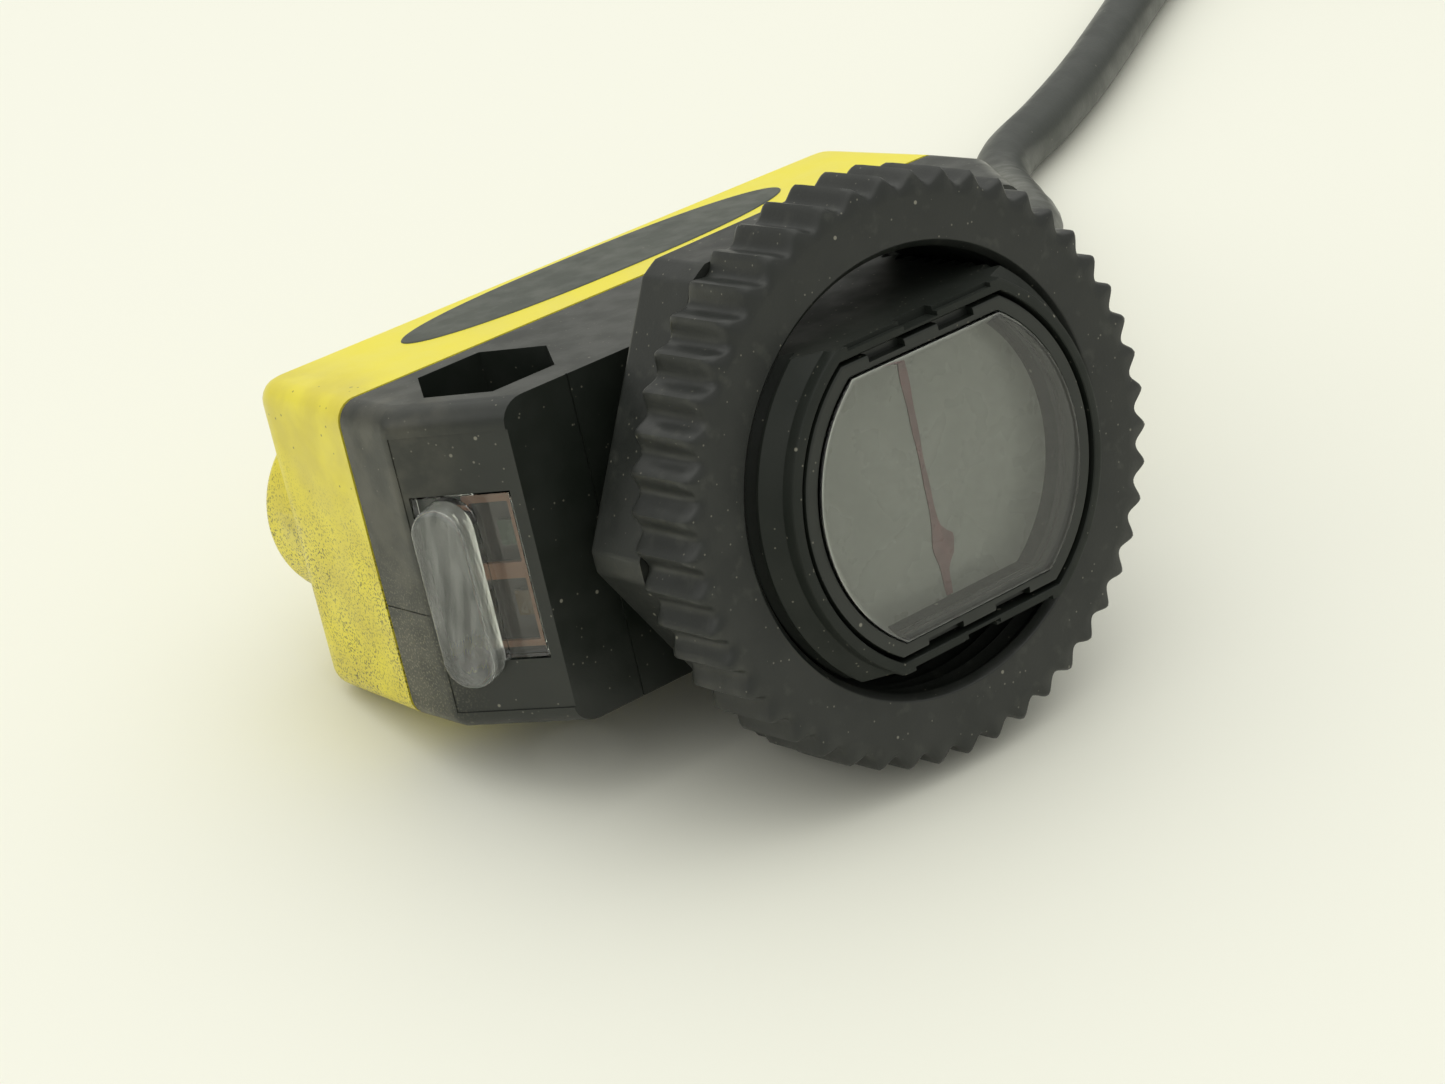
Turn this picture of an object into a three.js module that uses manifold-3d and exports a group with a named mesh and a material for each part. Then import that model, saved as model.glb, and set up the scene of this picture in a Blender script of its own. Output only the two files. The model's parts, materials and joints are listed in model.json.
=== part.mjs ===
// Photoelectric sensor: a two-piece plastic housing with a threaded nose, a serrated mounting nut,
// a clear window over two optical channels, and a cable that ends in a round five-pin connector.
//
// Units are millimetres. The sensor is drawn in its own axes and then laid on its side:
//   x  along the optical axis, out of the window      y  along the housing, towards the cable
//   z  through the housing, towards its labelled side
// x = 0 is the front face of the nut, and the optical axis is the line y = z = 0.

import * as THREE from 'three';
import * as BufferGeometryUtils from 'three/addons/utils/BufferGeometryUtils.js';
import Module from 'manifold-3d';

const wasm = await Module();
wasm.setup();

// ---------------------------------------------------------------- driving dimensions

const GAP = 0.3;                  // clearance between neighbouring pieces
const TILT = 14;                  // degrees that the nose points up when the sensor lies on its side
const LAY_DOWN = { x: 19.54, y: -0.59, z: 21.39 };   // moves the laid-down sensor over its origin

const HALF_T = 11.8;              // half the housing's thickness
const REAR_X = -40.6;
const SEAM_X = -27.7;             // joint between the rear cover and the front housing
const FRONT_X = -14.2;            // flat shoulder round the threaded nose
const NEAR_Y = -27.3;             // indicator end
const FAR_Y = 29.2;               // cable end
const END_TAPER = 0.9;            // the rear cover is this much shorter at its rear face, each end
const RIM_X = -22.2;              // the ends are square up to here and slant in from here
const SLANT_Y = 4.5;              // how far they have slanted in at the shoulder
const EDGE_R = 1.6;               // rounding of the long edges
const WALL = 1.8;

const HOLE_X = -21.5;             // the two mounting holes
const HOLE_Y = 18.7;
const HOLE_R = 2.6;
const HEX_ACROSS = 9.1;
const HEX_DEPTH = 5.2;

const BARREL_R = 14.85;           // M30 thread
const THREAD_PITCH = 1.5;
const THREAD_DEPTH = 0.6;
const BARREL_FLAT = 11.5;         // the nose is cut flat here, above and below
const THREAD_END_X = 1.0;
const COLLAR_LONG = 1.2;          // plain collar between the shoulder and the thread
const RIM_R = 13.7;               // plain rim in front of the thread
const RIM_FRONT_X = 2.6;
const SOCKET_R = 12.9;            // socket in the rim for the bezel
const SOCKET_FLAT = 10.7;
const SOCKET_BACK_X = -0.6;
const BORE_R = 12.2;              // optical bore behind the socket
const BORE_FLAT = 9.7;

const NUT_BORE_R = BARREL_R + 0.35;
const NUT_TIP_R = 20.5;
const NUT_ROOT_R = 19.35;
const NUT_TEETH = 48;
const NUT_FLANGE_BACK_X = -6.3;
const NUT_BACK_X = -12;
const NUT_HEX_ACROSS = 35.6;
const NUT_HEX_R = 20.1;           // the hexagon's corners are turned down to this radius

const LENS_R = 11.5;
const LENS_FLAT = 9.4;
const LENS_FRONT_X = 2.85;
const LENS_THICK = 1.7;
const BEZEL_FRONT_X = 2.5;
const FILM_BEHIND_LENS = 1.9;
const FILM_THICK = 0.4;
const SEPTUM_HALF = 0.45;

const WINDOW_Z = [-6.6, 5.6];     // indicator window on the slanting end face
const WINDOW_U = [0.6, 8.3];      // measured along that face from the end of its square rim
const LIGHT_BAR_Z = [-8.0, 5.2];
const LIGHT_BAR_U = [0.9, 4.9];
const LIGHT_BAR_PROUD = 1.7;
const PANEL_RECESS = 0.35;

const BOSS_Y = -19;               // round boss with the two adjusters on the rear face
const BOSS_R = 7.2;
const BOSS_TOP_X = -44.2;
const ADJUSTER_Z = 3.3;
const WELL_R = 2.85;

const EXIT_X = -33.5;             // cable entry in the rear cover
const EXIT_R = 3.7;
const CABLE_R = 2.5;
const BOOT_END_Y = 34.5;

const BOARD_BACK_X = -32.2;       // main circuit board
const BOARD_THICK = 1.4;

// route of the cable's centre line in the finished part's frame, from the boot to the connector
const CABLE_ROUTE = [
  [-13.0, 34.2, 13.3],
  [-13.1, 36.8, 13.2],
  [-13.9, 40.3, 12.8],
  [-16.1, 43.7, 11.9],
  [-19.9, 47.0, 10.5],
  [-23.9, 50.1, 8.8],
  [-27.9, 53.3, 7.1],
  [-31.9, 56.4, 5.4],
  [-35.9, 59.5, 3.9],
  [-39.8, 62.7, 3.0],
  [-42.8, 66.8, 2.6],
  [-45.9, 74.2, 2.6],
  [-50.0, 82.7, 2.6],
  [-54.7, 91.2, 2.6],
  [-59.5, 99.5, 2.6],
  [-63.9, 107.6, 2.6],
  [-67.5, 116.0, 2.7],
  [-69.8, 124.8, 3.3],
  [-70.7, 133.8, 4.7],
  [-70.5, 142.8, 6.7],
  [-69.5, 149.6, 7.9],
  [-68.6, 154.1, 8.1],
];
const PLUG_HEADING = [0.196, 0.98, 0];   // the connector lies level, pointing this way
const PLUG_GRIP_R = 6.2;
const PLUG_GRIP_LONG = 21;
const PLUG_NUT_R = 8;
const PLUG_NUT_LONG = 11;
const PLUG_THREAD_R = 5.9;
const PLUG_SHELL_R = 4.6;
const PIN_CIRCLE_R = 2.7;
const PIN_R = 0.5;

// ---------------------------------------------------------------- small helpers

const RIGHT = new THREE.Vector3(1, 0, 0);
const ALONG = new THREE.Vector3(0, 1, 0);
const UP = new THREE.Vector3(0, 0, 1);
const TO_X_EXTRUDED = new THREE.Matrix4().makeBasis(ALONG, UP, RIGHT);
const TO_X_TURNED = new THREE.Matrix4().makeBasis(ALONG, RIGHT, UP.clone().negate());
const TO_Z_TURNED = new THREE.Matrix4().makeBasis(RIGHT, UP, ALONG.clone().negate());

function toSolid(geometry) {
  const bare = geometry.index ? geometry.toNonIndexed() : geometry.clone();
  bare.deleteAttribute('normal');
  bare.deleteAttribute('uv');
  const merged = BufferGeometryUtils.mergeVertices(bare, 1e-4);
  const triVerts = [];
  const index = merged.index.array;
  for (let i = 0; i < index.length; i += 3) {
    const [a, b, c] = [index[i], index[i + 1], index[i + 2]];
    if (a !== b && b !== c && c !== a) triVerts.push(a, b, c);
  }
  const vertProperties = new Float32Array(merged.attributes.position.array);
  let volume = 0;
  const corner = (k) => new THREE.Vector3().fromArray(vertProperties, k * 3);
  for (let i = 0; i < triVerts.length; i += 3) {
    const [a, b, c] = [corner(triVerts[i]), corner(triVerts[i + 1]), corner(triVerts[i + 2])];
    volume += a.dot(b.cross(c));
  }
  const facing = volume < 0 ? triVerts.reverse() : triVerts;
  return new wasm.Manifold(new wasm.Mesh({
    numProp: 3,
    vertProperties,
    triVerts: new Uint32Array(facing),
  }));
}

function toGeometry(solid) {
  const { vertProperties, triVerts } = solid.getMesh();
  const geometry = new THREE.BufferGeometry();
  geometry.setAttribute('position', new THREE.BufferAttribute(new Float32Array(vertProperties), 3));
  geometry.setIndex(new THREE.BufferAttribute(new Uint32Array(triVerts), 1));
  geometry.computeVertexNormals();
  return geometry;
}

const union = (first, ...others) => others.reduce((sum, next) => sum.add(next), first);
const cut = (body, ...tools) => tools.reduce((rest, tool) => rest.subtract(tool), body);

function box([x0, x1], [y0, y1], [z0, z1]) {
  const geometry = new THREE.BoxGeometry(x1 - x0, y1 - y0, z1 - z0);
  geometry.translate((x0 + x1) / 2, (y0 + y1) / 2, (z0 + z1) / 2);
  return toSolid(geometry);
}

// a prism of a shape drawn in y and z, standing along x
function prismX(shape, x0, x1, arcSteps = 16) {
  const geometry = new THREE.ExtrudeGeometry(shape, {
    depth: x1 - x0, bevelEnabled: false, curveSegments: arcSteps,
  });
  geometry.applyMatrix4(TO_X_EXTRUDED);
  geometry.translate(x0, 0, 0);
  return toSolid(geometry);
}

// a prism of a shape drawn in x and y, standing along z, with its end edges rounded by bevel
function prismZ(shape, z0, z1, bevel = 0, arcSteps = 8) {
  const geometry = new THREE.ExtrudeGeometry(shape, {
    depth: z1 - z0 - 2 * bevel,
    bevelEnabled: bevel > 0,
    bevelThickness: bevel,
    bevelSize: bevel,
    bevelOffset: -bevel,
    bevelSegments: 4,
    curveSegments: arcSteps,
  });
  geometry.translate(0, 0, z0 + bevel);
  return toSolid(geometry);
}

// a solid of revolution about x, y or z through (a, b), from [radius, position] pairs
function turned(profile, steps = 32, matrix = TO_X_TURNED) {
  const points = profile.map(([radius, position]) => new THREE.Vector2(radius, position));
  const geometry = new THREE.LatheGeometry(points, steps);
  geometry.applyMatrix4(matrix);
  return toSolid(geometry);
}

const discX = (radius, x0, x1, steps = 32) => turned([[0, x0], [radius, x0], [radius, x1], [0, x1]], steps);
const discZ = (radius, z0, z1, steps = 20) =>
  turned([[0, z0], [radius, z0], [radius, z1], [0, z1]], steps, TO_Z_TURNED);
const discY = (radius, y0, y1, steps = 24) => {
  const geometry = new THREE.CylinderGeometry(radius, radius, y1 - y0, steps);
  geometry.translate(0, (y0 + y1) / 2, 0);
  return toSolid(geometry);
};

const ringX = (inner, outer, x0, x1, steps = 32) =>
  turned([[inner, x0], [outer, x0], [outer, x1], [inner, x1], [inner, x0]], steps);

// a circle with its top and bottom cut flat
function flattedCircle(radius, flat) {
  const reach = Math.asin(flat / radius);
  const shape = new THREE.Shape();
  shape.absarc(0, 0, radius, -reach, reach, false);
  shape.absarc(0, 0, radius, Math.PI - reach, Math.PI + reach, false);
  shape.closePath();
  return shape;
}

function polygon(points) {
  return new THREE.Shape(points.map(([a, b]) => new THREE.Vector2(a, b)));
}

function hexagon(across, turn = 0) {
  const points = [];
  for (let k = 0; k < 6; k += 1) {
    const angle = turn + (k * Math.PI) / 3;
    points.push([(across / Math.sqrt(3)) * Math.cos(angle), (across / Math.sqrt(3)) * Math.sin(angle)]);
  }
  return polygon(points);
}

const sensor = new THREE.Group();
const cord = new THREE.Group();

function addPiece(group, name, solid, colour, roughness, metalness = 0, opacity = 1) {
  const material = new THREE.MeshStandardMaterial({
    color: colour, roughness, metalness, opacity, transparent: opacity < 1,
  });
  const mesh = new THREE.Mesh(toGeometry(solid), material);
  mesh.name = name;
  group.add(mesh);
  return mesh;
}

const BLACK = 0x2a2d28;
const YELLOW = 0xf0e430;
const RUBBER = 0x1b1c1a;
const BOARD_GREEN = 0x1f5a34;
const METAL = 0xb9b9b4;

// ---------------------------------------------------------------- housing shells

// outline of the whole housing in x and y, drawn inset all round, and its ends' slanting faces
function housingOutline(inset) {
  const rear = REAR_X + inset;
  const near = NEAR_Y + inset;
  const far = FAR_Y - inset;
  const front = FRONT_X + EDGE_R;
  const slope = SLANT_Y / (FRONT_X - RIM_X);
  const slant = slope * (front - RIM_X);
  const round = Math.max(2.4 - inset, 0.5);
  const shape = new THREE.Shape();
  shape.moveTo(rear, near + END_TAPER + round);
  shape.quadraticCurveTo(rear, near + END_TAPER, rear + round, near + END_TAPER - 0.1);
  shape.lineTo(SEAM_X, near);
  shape.lineTo(RIM_X, near);
  shape.lineTo(front, near + slant);
  shape.lineTo(front, far - slant);
  shape.lineTo(RIM_X, far);
  shape.lineTo(SEAM_X, far);
  shape.lineTo(rear + round, far - END_TAPER + 0.1);
  shape.quadraticCurveTo(rear, far - END_TAPER, rear, far - END_TAPER - round);
  shape.closePath();
  return shape;
}

const FAR_OUT = 60;
const envelope = prismZ(housingOutline(0), -HALF_T, HALF_T, EDGE_R);
const inside = prismZ(housingOutline(WALL), -(HALF_T - WALL), HALF_T - WALL, 0);
const holeSides = [-1, 1];

// frame of the slanting indicator face: u runs along it from the rim, v out of it
const slantAngle = Math.atan2(SLANT_Y, FRONT_X - RIM_X);
const slantFrame = new THREE.Matrix4()
  .makeTranslation(RIM_X, NEAR_Y, 0)
  .multiply(new THREE.Matrix4().makeRotationZ(slantAngle));

// a block in the slanting face's frame, given as ranges of u, of depth below the face, and of z
function slantBlock([u0, u1], [d0, d1], [z0, z1]) {
  const geometry = new THREE.BoxGeometry(u1 - u0, d1 - d0, z1 - z0);
  geometry.translate((u0 + u1) / 2, (d0 + d1) / 2, (z0 + z1) / 2);
  geometry.applyMatrix4(slantFrame);
  return toSolid(geometry);
}

// a bar with round ends standing out of the slanting face
function slantBar([u0, u1], [d0, d1], [z0, z1], inset = 0) {
  const half = (u1 - u0) / 2 - inset;
  const middle = (u0 + u1) / 2;
  const shape = new THREE.Shape();
  shape.absarc(middle, z1 - inset - half, half, 0, Math.PI, false);
  shape.absarc(middle, z0 + inset + half, half, Math.PI, 2 * Math.PI, false);
  shape.closePath();
  const geometry = new THREE.ExtrudeGeometry(shape, { depth: d1 - d0, bevelEnabled: false, curveSegments: 8 });
  geometry.rotateX(Math.PI / 2);
  geometry.translate(0, d1, 0);
  geometry.applyMatrix4(slantFrame);
  return toSolid(geometry);
}

function threadedNose() {
  const profile = [[0, FRONT_X - 0.5], [BARREL_R, FRONT_X - 0.5], [BARREL_R, FRONT_X + COLLAR_LONG]];
  const turns = Math.floor((THREAD_END_X - FRONT_X - COLLAR_LONG) / THREAD_PITCH);
  for (let k = 0; k < turns; k += 1) {
    const start = THREAD_END_X - (turns - k) * THREAD_PITCH;
    profile.push([BARREL_R - THREAD_DEPTH, start]);
    profile.push([BARREL_R, start + THREAD_PITCH / 2]);
  }
  profile.push([RIM_R + 0.35, THREAD_END_X]);
  profile.push([RIM_R, THREAD_END_X + 0.5]);
  profile.push([RIM_R, RIM_FRONT_X - 0.3]);
  profile.push([RIM_R - 0.3, RIM_FRONT_X]);
  profile.push([0, RIM_FRONT_X]);
  const round = turned(profile, 48);
  const flats = box([FRONT_X - 1, RIM_FRONT_X + 1], [-20, 20], [-BARREL_FLAT, BARREL_FLAT]);
  return round.intersect(flats);
}

function frontHousing() {
  const shell = envelope.intersect(box([SEAM_X + GAP / 2, FRONT_X], [-FAR_OUT, FAR_OUT], [-FAR_OUT, FAR_OUT]));
  const columns = holeSides.map((side) => {
    const column = discZ(HOLE_R + 0.9, -HALF_T + 1, HALF_T - 1);
    const cup = discZ(HEX_ACROSS / 2 + 1.6, HALF_T - HEX_DEPTH - 1, HALF_T - 1);
    return union(column, cup).translate([HOLE_X, side * HOLE_Y, 0]);
  });
  const columnRoom = box([SEAM_X + 0.95, 0], [-FAR_OUT, FAR_OUT], [-FAR_OUT, FAR_OUT]);
  const cavity = cut(
    inside.intersect(box([-FAR_OUT, FRONT_X - WALL], [-FAR_OUT, FAR_OUT], [-FAR_OUT, FAR_OUT])),
    ...columns.map((column) => column.intersect(columnRoom)),
  );
  const holes = holeSides.flatMap((side) => [
    discZ(HOLE_R, -HALF_T - 1, HALF_T + 1).translate([HOLE_X, side * HOLE_Y, 0]),
    prismZ(hexagon(HEX_ACROSS, Math.PI / 2), HALF_T - HEX_DEPTH, HALF_T + 1)
      .translate([HOLE_X, side * HOLE_Y, 0]),
  ]);
  const socket = prismX(flattedCircle(SOCKET_R, SOCKET_FLAT), SOCKET_BACK_X, RIM_FRONT_X + 1, 14);
  const bore = prismX(flattedCircle(BORE_R, BORE_FLAT), FRONT_X - WALL - 1, RIM_FRONT_X, 12);
  const notches = [-1, 1].map((side) =>
    box([BEZEL_FRONT_X - 1.1, RIM_FRONT_X + 1], [-1.5, 1.5], [side * 12.5 - 1.6, side * 12.5 + 1.6]));
  const panel = slantBlock([0.15, 12], [-5, PANEL_RECESS], [-10.3, 9.9]);
  const windowHole = slantBlock(WINDOW_U, [-5, WALL + 1.5], WINDOW_Z);
  const barHole = slantBar(LIGHT_BAR_U, [-5, WALL + 1.5], LIGHT_BAR_Z);
  return cut(union(cut(shell, cavity), threadedNose()), bore, socket, panel, windowHole, barHole,
    ...notches, ...holes);
}

addPiece(sensor, 'front_housing', frontHousing(), BLACK, 0.45);

function adjusterBoss() {
  const profile = [[0, REAR_X + 1], [BOSS_R, REAR_X + 1], [BOSS_R, BOSS_TOP_X + 1]];
  profile.push([BOSS_R - 0.3, BOSS_TOP_X + 0.3], [BOSS_R - 1, BOSS_TOP_X], [0, BOSS_TOP_X]);
  return turned(profile, 40).translate([0, BOSS_Y, 0]);
}

function rearCover() {
  const shell = envelope.intersect(box([-FAR_OUT, SEAM_X - GAP / 2], [-FAR_OUT, FAR_OUT], [-FAR_OUT, FAR_OUT]));
  const cavity = inside.intersect(box([REAR_X + WALL, 0], [-FAR_OUT, FAR_OUT], [-FAR_OUT, FAR_OUT]));
  const wells = [-1, 1].map((side) =>
    discX(WELL_R, BOSS_TOP_X - 1, REAR_X + WALL + 1, 24).translate([0, BOSS_Y, side * ADJUSTER_Z]));
  const entry = discY(EXIT_R + GAP, FAR_Y - 5, FAR_Y + 2).translate([EXIT_X, 0, 0]);
  return cut(union(shell, adjusterBoss()), cavity, ...wells, entry);
}

addPiece(sensor, 'rear_cover', rearCover(), YELLOW, 0.4);

function housingSeal() {
  const outer = prismZ(housingOutline(WALL + GAP), -(HALF_T - WALL - GAP), HALF_T - WALL - GAP, 0);
  const inner = prismZ(housingOutline(WALL + GAP + 0.9), -(HALF_T - WALL - GAP - 0.9), HALF_T - WALL - GAP - 0.9, 0);
  const slice = box([SEAM_X - 0.8, SEAM_X + 0.65], [-FAR_OUT, FAR_OUT], [-FAR_OUT, FAR_OUT]);
  return outer.subtract(inner).intersect(slice);
}

addPiece(sensor, 'housing_seal', housingSeal(), 0x6b3f2c, 0.8);

// ---------------------------------------------------------------- mounting nut

function mountingNut() {
  const outline = [];
  const step = (2 * Math.PI) / NUT_TEETH;
  const firstTip = step / 2;
  for (let k = 0; k < NUT_TEETH; k += 1) {
    const tip = firstTip + k * step;
    const rim = [[-0.08, NUT_TIP_R], [0.08, NUT_TIP_R], [0.38, NUT_ROOT_R], [0.62, NUT_ROOT_R]];
    rim.forEach(([share, radius]) => {
      outline.push([radius * Math.cos(tip + share * step), radius * Math.sin(tip + share * step)]);
    });
  }
  const flange = prismX(polygon(outline), NUT_FLANGE_BACK_X, 0);
  const hexTurn = Math.PI / 180;
  const hex = prismX(hexagon(NUT_HEX_ACROSS, hexTurn), NUT_BACK_X, NUT_FLANGE_BACK_X + 0.5)
    .intersect(turned([[0, NUT_BACK_X], [NUT_HEX_R - 0.5, NUT_BACK_X], [NUT_HEX_R, NUT_BACK_X + 0.5],
      [NUT_HEX_R, NUT_FLANGE_BACK_X + 1], [0, NUT_FLANGE_BACK_X + 1]], 48));
  const bore = turned([[0, NUT_BACK_X - 1], [NUT_BORE_R + 0.5, NUT_BACK_X - 1], [NUT_BORE_R + 0.5, NUT_BACK_X],
    [NUT_BORE_R, NUT_BACK_X + 0.5], [NUT_BORE_R, -0.5], [NUT_BORE_R + 0.5, 0], [NUT_BORE_R + 0.5, 1], [0, 1]], 48);
  return cut(union(flange, hex), bore);
}

addPiece(sensor, 'mounting_nut', mountingNut(), 0x262a25, 0.5);

// ---------------------------------------------------------------- window and optics

function lensBezel() {
  const ring = prismX(flattedCircle(SOCKET_R - GAP, SOCKET_FLAT - GAP), LENS_FRONT_X - LENS_THICK - GAP,
    BEZEL_FRONT_X, 14);
  const opening = prismX(flattedCircle(LENS_R + GAP, LENS_FLAT + GAP), -3, 5, 14);
  return ring.subtract(opening);
}

addPiece(sensor, 'lens_bezel', lensBezel(), BLACK, 0.4);

const lensBackX = LENS_FRONT_X - LENS_THICK;
addPiece(sensor, 'front_lens', prismX(flattedCircle(LENS_R, LENS_FLAT), lensBackX, LENS_FRONT_X, 14),
  0xcfd6d2, 0.08, 0, 0.35);

function lensSeal() {
  const back = lensBackX - 2 * GAP - 0.5;
  const ring = prismX(flattedCircle(SOCKET_R - GAP, SOCKET_FLAT - GAP), back, back + 0.5, 12);
  return ring.subtract(prismX(flattedCircle(LENS_R + 0.1, LENS_FLAT + 0.1), -3, 3, 12));
}

addPiece(sensor, 'lens_seal', lensSeal(), RUBBER, 0.85);

// the two halves of an optical disc, one each side of the septum
function halfDisc(side, radius, flat, x0, x1, edge) {
  const halfSpace = side < 0 ? [-20, -edge] : [edge, 20];
  return prismX(flattedCircle(radius, flat), x0, x1, 12).intersect(box([x0 - 1, x1 + 1], halfSpace, [-20, 20]));
}

const filterBackX = lensBackX - FILM_BEHIND_LENS - FILM_THICK;
const OPTIC_SIDES = [['emitter', -1], ['receiver', 1]];
OPTIC_SIDES.forEach(([kind, side]) => {
  addPiece(sensor, `${kind}_polarizer`, halfDisc(side, LENS_R - 0.4, LENS_FLAT - 0.3, filterBackX,
    filterBackX + FILM_THICK, 0.2),
    0x6d7168, 0.2);
});

const holderFrontX = filterBackX - 2 * GAP;
const opticsBoardX = FRONT_X - WALL - GAP - 1;
const holderBackX = opticsBoardX + 1 + GAP;
const tunnelBackX = holderBackX + 1.4;

function opticsHolder() {
  const block = prismX(flattedCircle(BORE_R - GAP, BORE_FLAT - GAP), holderBackX, holderFrontX, 12);
  const tunnels = OPTIC_SIDES.map(([, side]) =>
    halfDisc(side, BORE_R - 1.3, BORE_FLAT - 1.2, tunnelBackX, holderFrontX + 1, SEPTUM_HALF));
  const eyes = OPTIC_SIDES.map(([, side]) =>
    discX(1.9, holderBackX - 1, tunnelBackX + 1, 20).translate([0, side * 5.4, 0]));
  return cut(block, ...tunnels, ...eyes);
}

addPiece(sensor, 'optics_holder', opticsHolder(), 0x171817, 0.7);

// thick plano-convex lens cut to the tunnel's half-round shape
function objective(side) {
  const radius = BORE_R - 1.3 - GAP;
  const flat = BORE_FLAT - 1.2 - GAP;
  const flatX = holderFrontX - 4.2;
  const plate = halfDisc(side, radius, flat, flatX, flatX + 1.2, SEPTUM_HALF + GAP);
  const crown = new THREE.SphereGeometry(7.4, 18, 12);
  crown.translate(flatX - 4.6, side * 5.2, 0);
  const dome = toSolid(crown)
    .intersect(box([flatX + 0.6, flatX + 4], [-20, 20], [-20, 20]))
    .intersect(halfDisc(side, radius, flat, flatX, flatX + 4, SEPTUM_HALF + GAP));
  return union(plate, dome);
}

OPTIC_SIDES.forEach(([kind, side]) => {
  addPiece(sensor, `${kind}_objective`, objective(side), 0xd9e2df, 0.06, 0, 0.45);
});

addPiece(sensor, 'optics_board', box([opticsBoardX, opticsBoardX + 1], [-10.5, 10.5], [-9, 9]), BOARD_GREEN, 0.5);

// clear round-topped diode standing through the holder's eye, and a flat photodiode behind the other
addPiece(sensor, 'emitter_led', turned([[0, opticsBoardX + 1 + GAP], [1.5, opticsBoardX + 1 + GAP],
  [1.5, holderBackX + 1.2], [1.1, holderBackX + 1.9], [0.5, holderBackX + 2.3], [0, holderBackX + 2.4]], 20)
  .translate([0, -5.4, 0]), 0xd8c9c4, 0.15, 0, 0.7);
addPiece(sensor, 'receiver_photodiode', box([opticsBoardX + 1 + GAP, holderBackX + 0.9], [4.2, 6.6], [-1.2, 1.2]),
  0x151312, 0.2);

// ---------------------------------------------------------------- indicators on the slanting end face

function indicatorLens() {
  const skin = slantBlock([WINDOW_U[0] + GAP, WINDOW_U[1] - GAP], [PANEL_RECESS, WALL - 0.4],
    [WINDOW_Z[0] + GAP, WINDOW_Z[1] - GAP]);
  const bar = slantBar(LIGHT_BAR_U, [-LIGHT_BAR_PROUD + 0.35, WALL - 0.4], LIGHT_BAR_Z, GAP);
  const cap = slantBar(LIGHT_BAR_U, [-LIGHT_BAR_PROUD, -LIGHT_BAR_PROUD + 0.36], LIGHT_BAR_Z, GAP + 0.35);
  return union(skin, bar, cap);
}

addPiece(sensor, 'indicator_lens', indicatorLens(), 0xd5dcd6, 0.08, 0, 0.4);

function indicatorFrame() {
  const plate = slantBlock([3.6, 7.9], [WALL - 0.15, WALL + 0.25], [-6.2, 5.2]);
  const sights = [[0.7, 3.4], [-4.6, -1.6]].map((range) => slantBlock([5.6, 7.4], [0, 5], range));
  return cut(plate, ...sights);
}

addPiece(sensor, 'indicator_frame', indicatorFrame(), 0x8a6248, 0.35, 0.3);

addPiece(sensor, 'indicator_flex', slantBlock([3.2, 7.4], [WALL + 1.15, WALL + 1.45], [-7, 4.6]), 0xb5762b, 0.5);
[['power_led', 2.05, 0x49c25c], ['output_led', -3.1, 0xe9b93a]].forEach(([name, z, colour]) => {
  addPiece(sensor, name, slantBlock([5.9, 7.1], [WALL + 0.4, WALL + 1], [z - 0.9, z + 0.9]), colour, 0.3);
});

// ---------------------------------------------------------------- circuit board and adjusters

const boardFrontX = BOARD_BACK_X + BOARD_THICK;
addPiece(sensor, 'main_board', box([BOARD_BACK_X, boardFrontX], [-23.8, 24], [-8.9, 8.9]), BOARD_GREEN, 0.5);

// name, place along the board, place across it, and size of each part soldered to the front of the board
const CHIPS = [
  ['controller_chip', 0, -3.5, 6, 6],
  ['amplifier_chip', -9, 3, 5, 4],
  ['regulator_chip', 9.5, 3.5, 4, 3.2],
  ['output_driver', 15.5, -3, 5, 3],
  ['surge_capacitor', 20.5, 4, 2.6, 5],
];
CHIPS.forEach(([name, y, z, long, wide]) => {
  const chip = box([boardFrontX + GAP, boardFrontX + GAP + 1.2], [y - long / 2, y + long / 2], [z - wide / 2, z + wide / 2]);
  addPiece(sensor, name, chip, 0x1a1a1c, 0.45);
});

const linkBack = boardFrontX + GAP;
const linkFront = opticsBoardX - GAP;
function boardLink() {
  const pins = [];
  for (let k = 0; k < 5; k += 1) {
    const z = -4 + 2 * k;
    pins.push(box([linkBack, linkFront], [-5.3, -4.7], [z - 0.3, z + 0.3]));
  }
  const strip = box([linkBack + 3, linkBack + 5.2], [-6.1, -3.9], [-5.1, 5.1]);
  return union(strip, ...pins);
}

addPiece(sensor, 'board_link', boardLink(), METAL, 0.4, 0.7);

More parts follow.
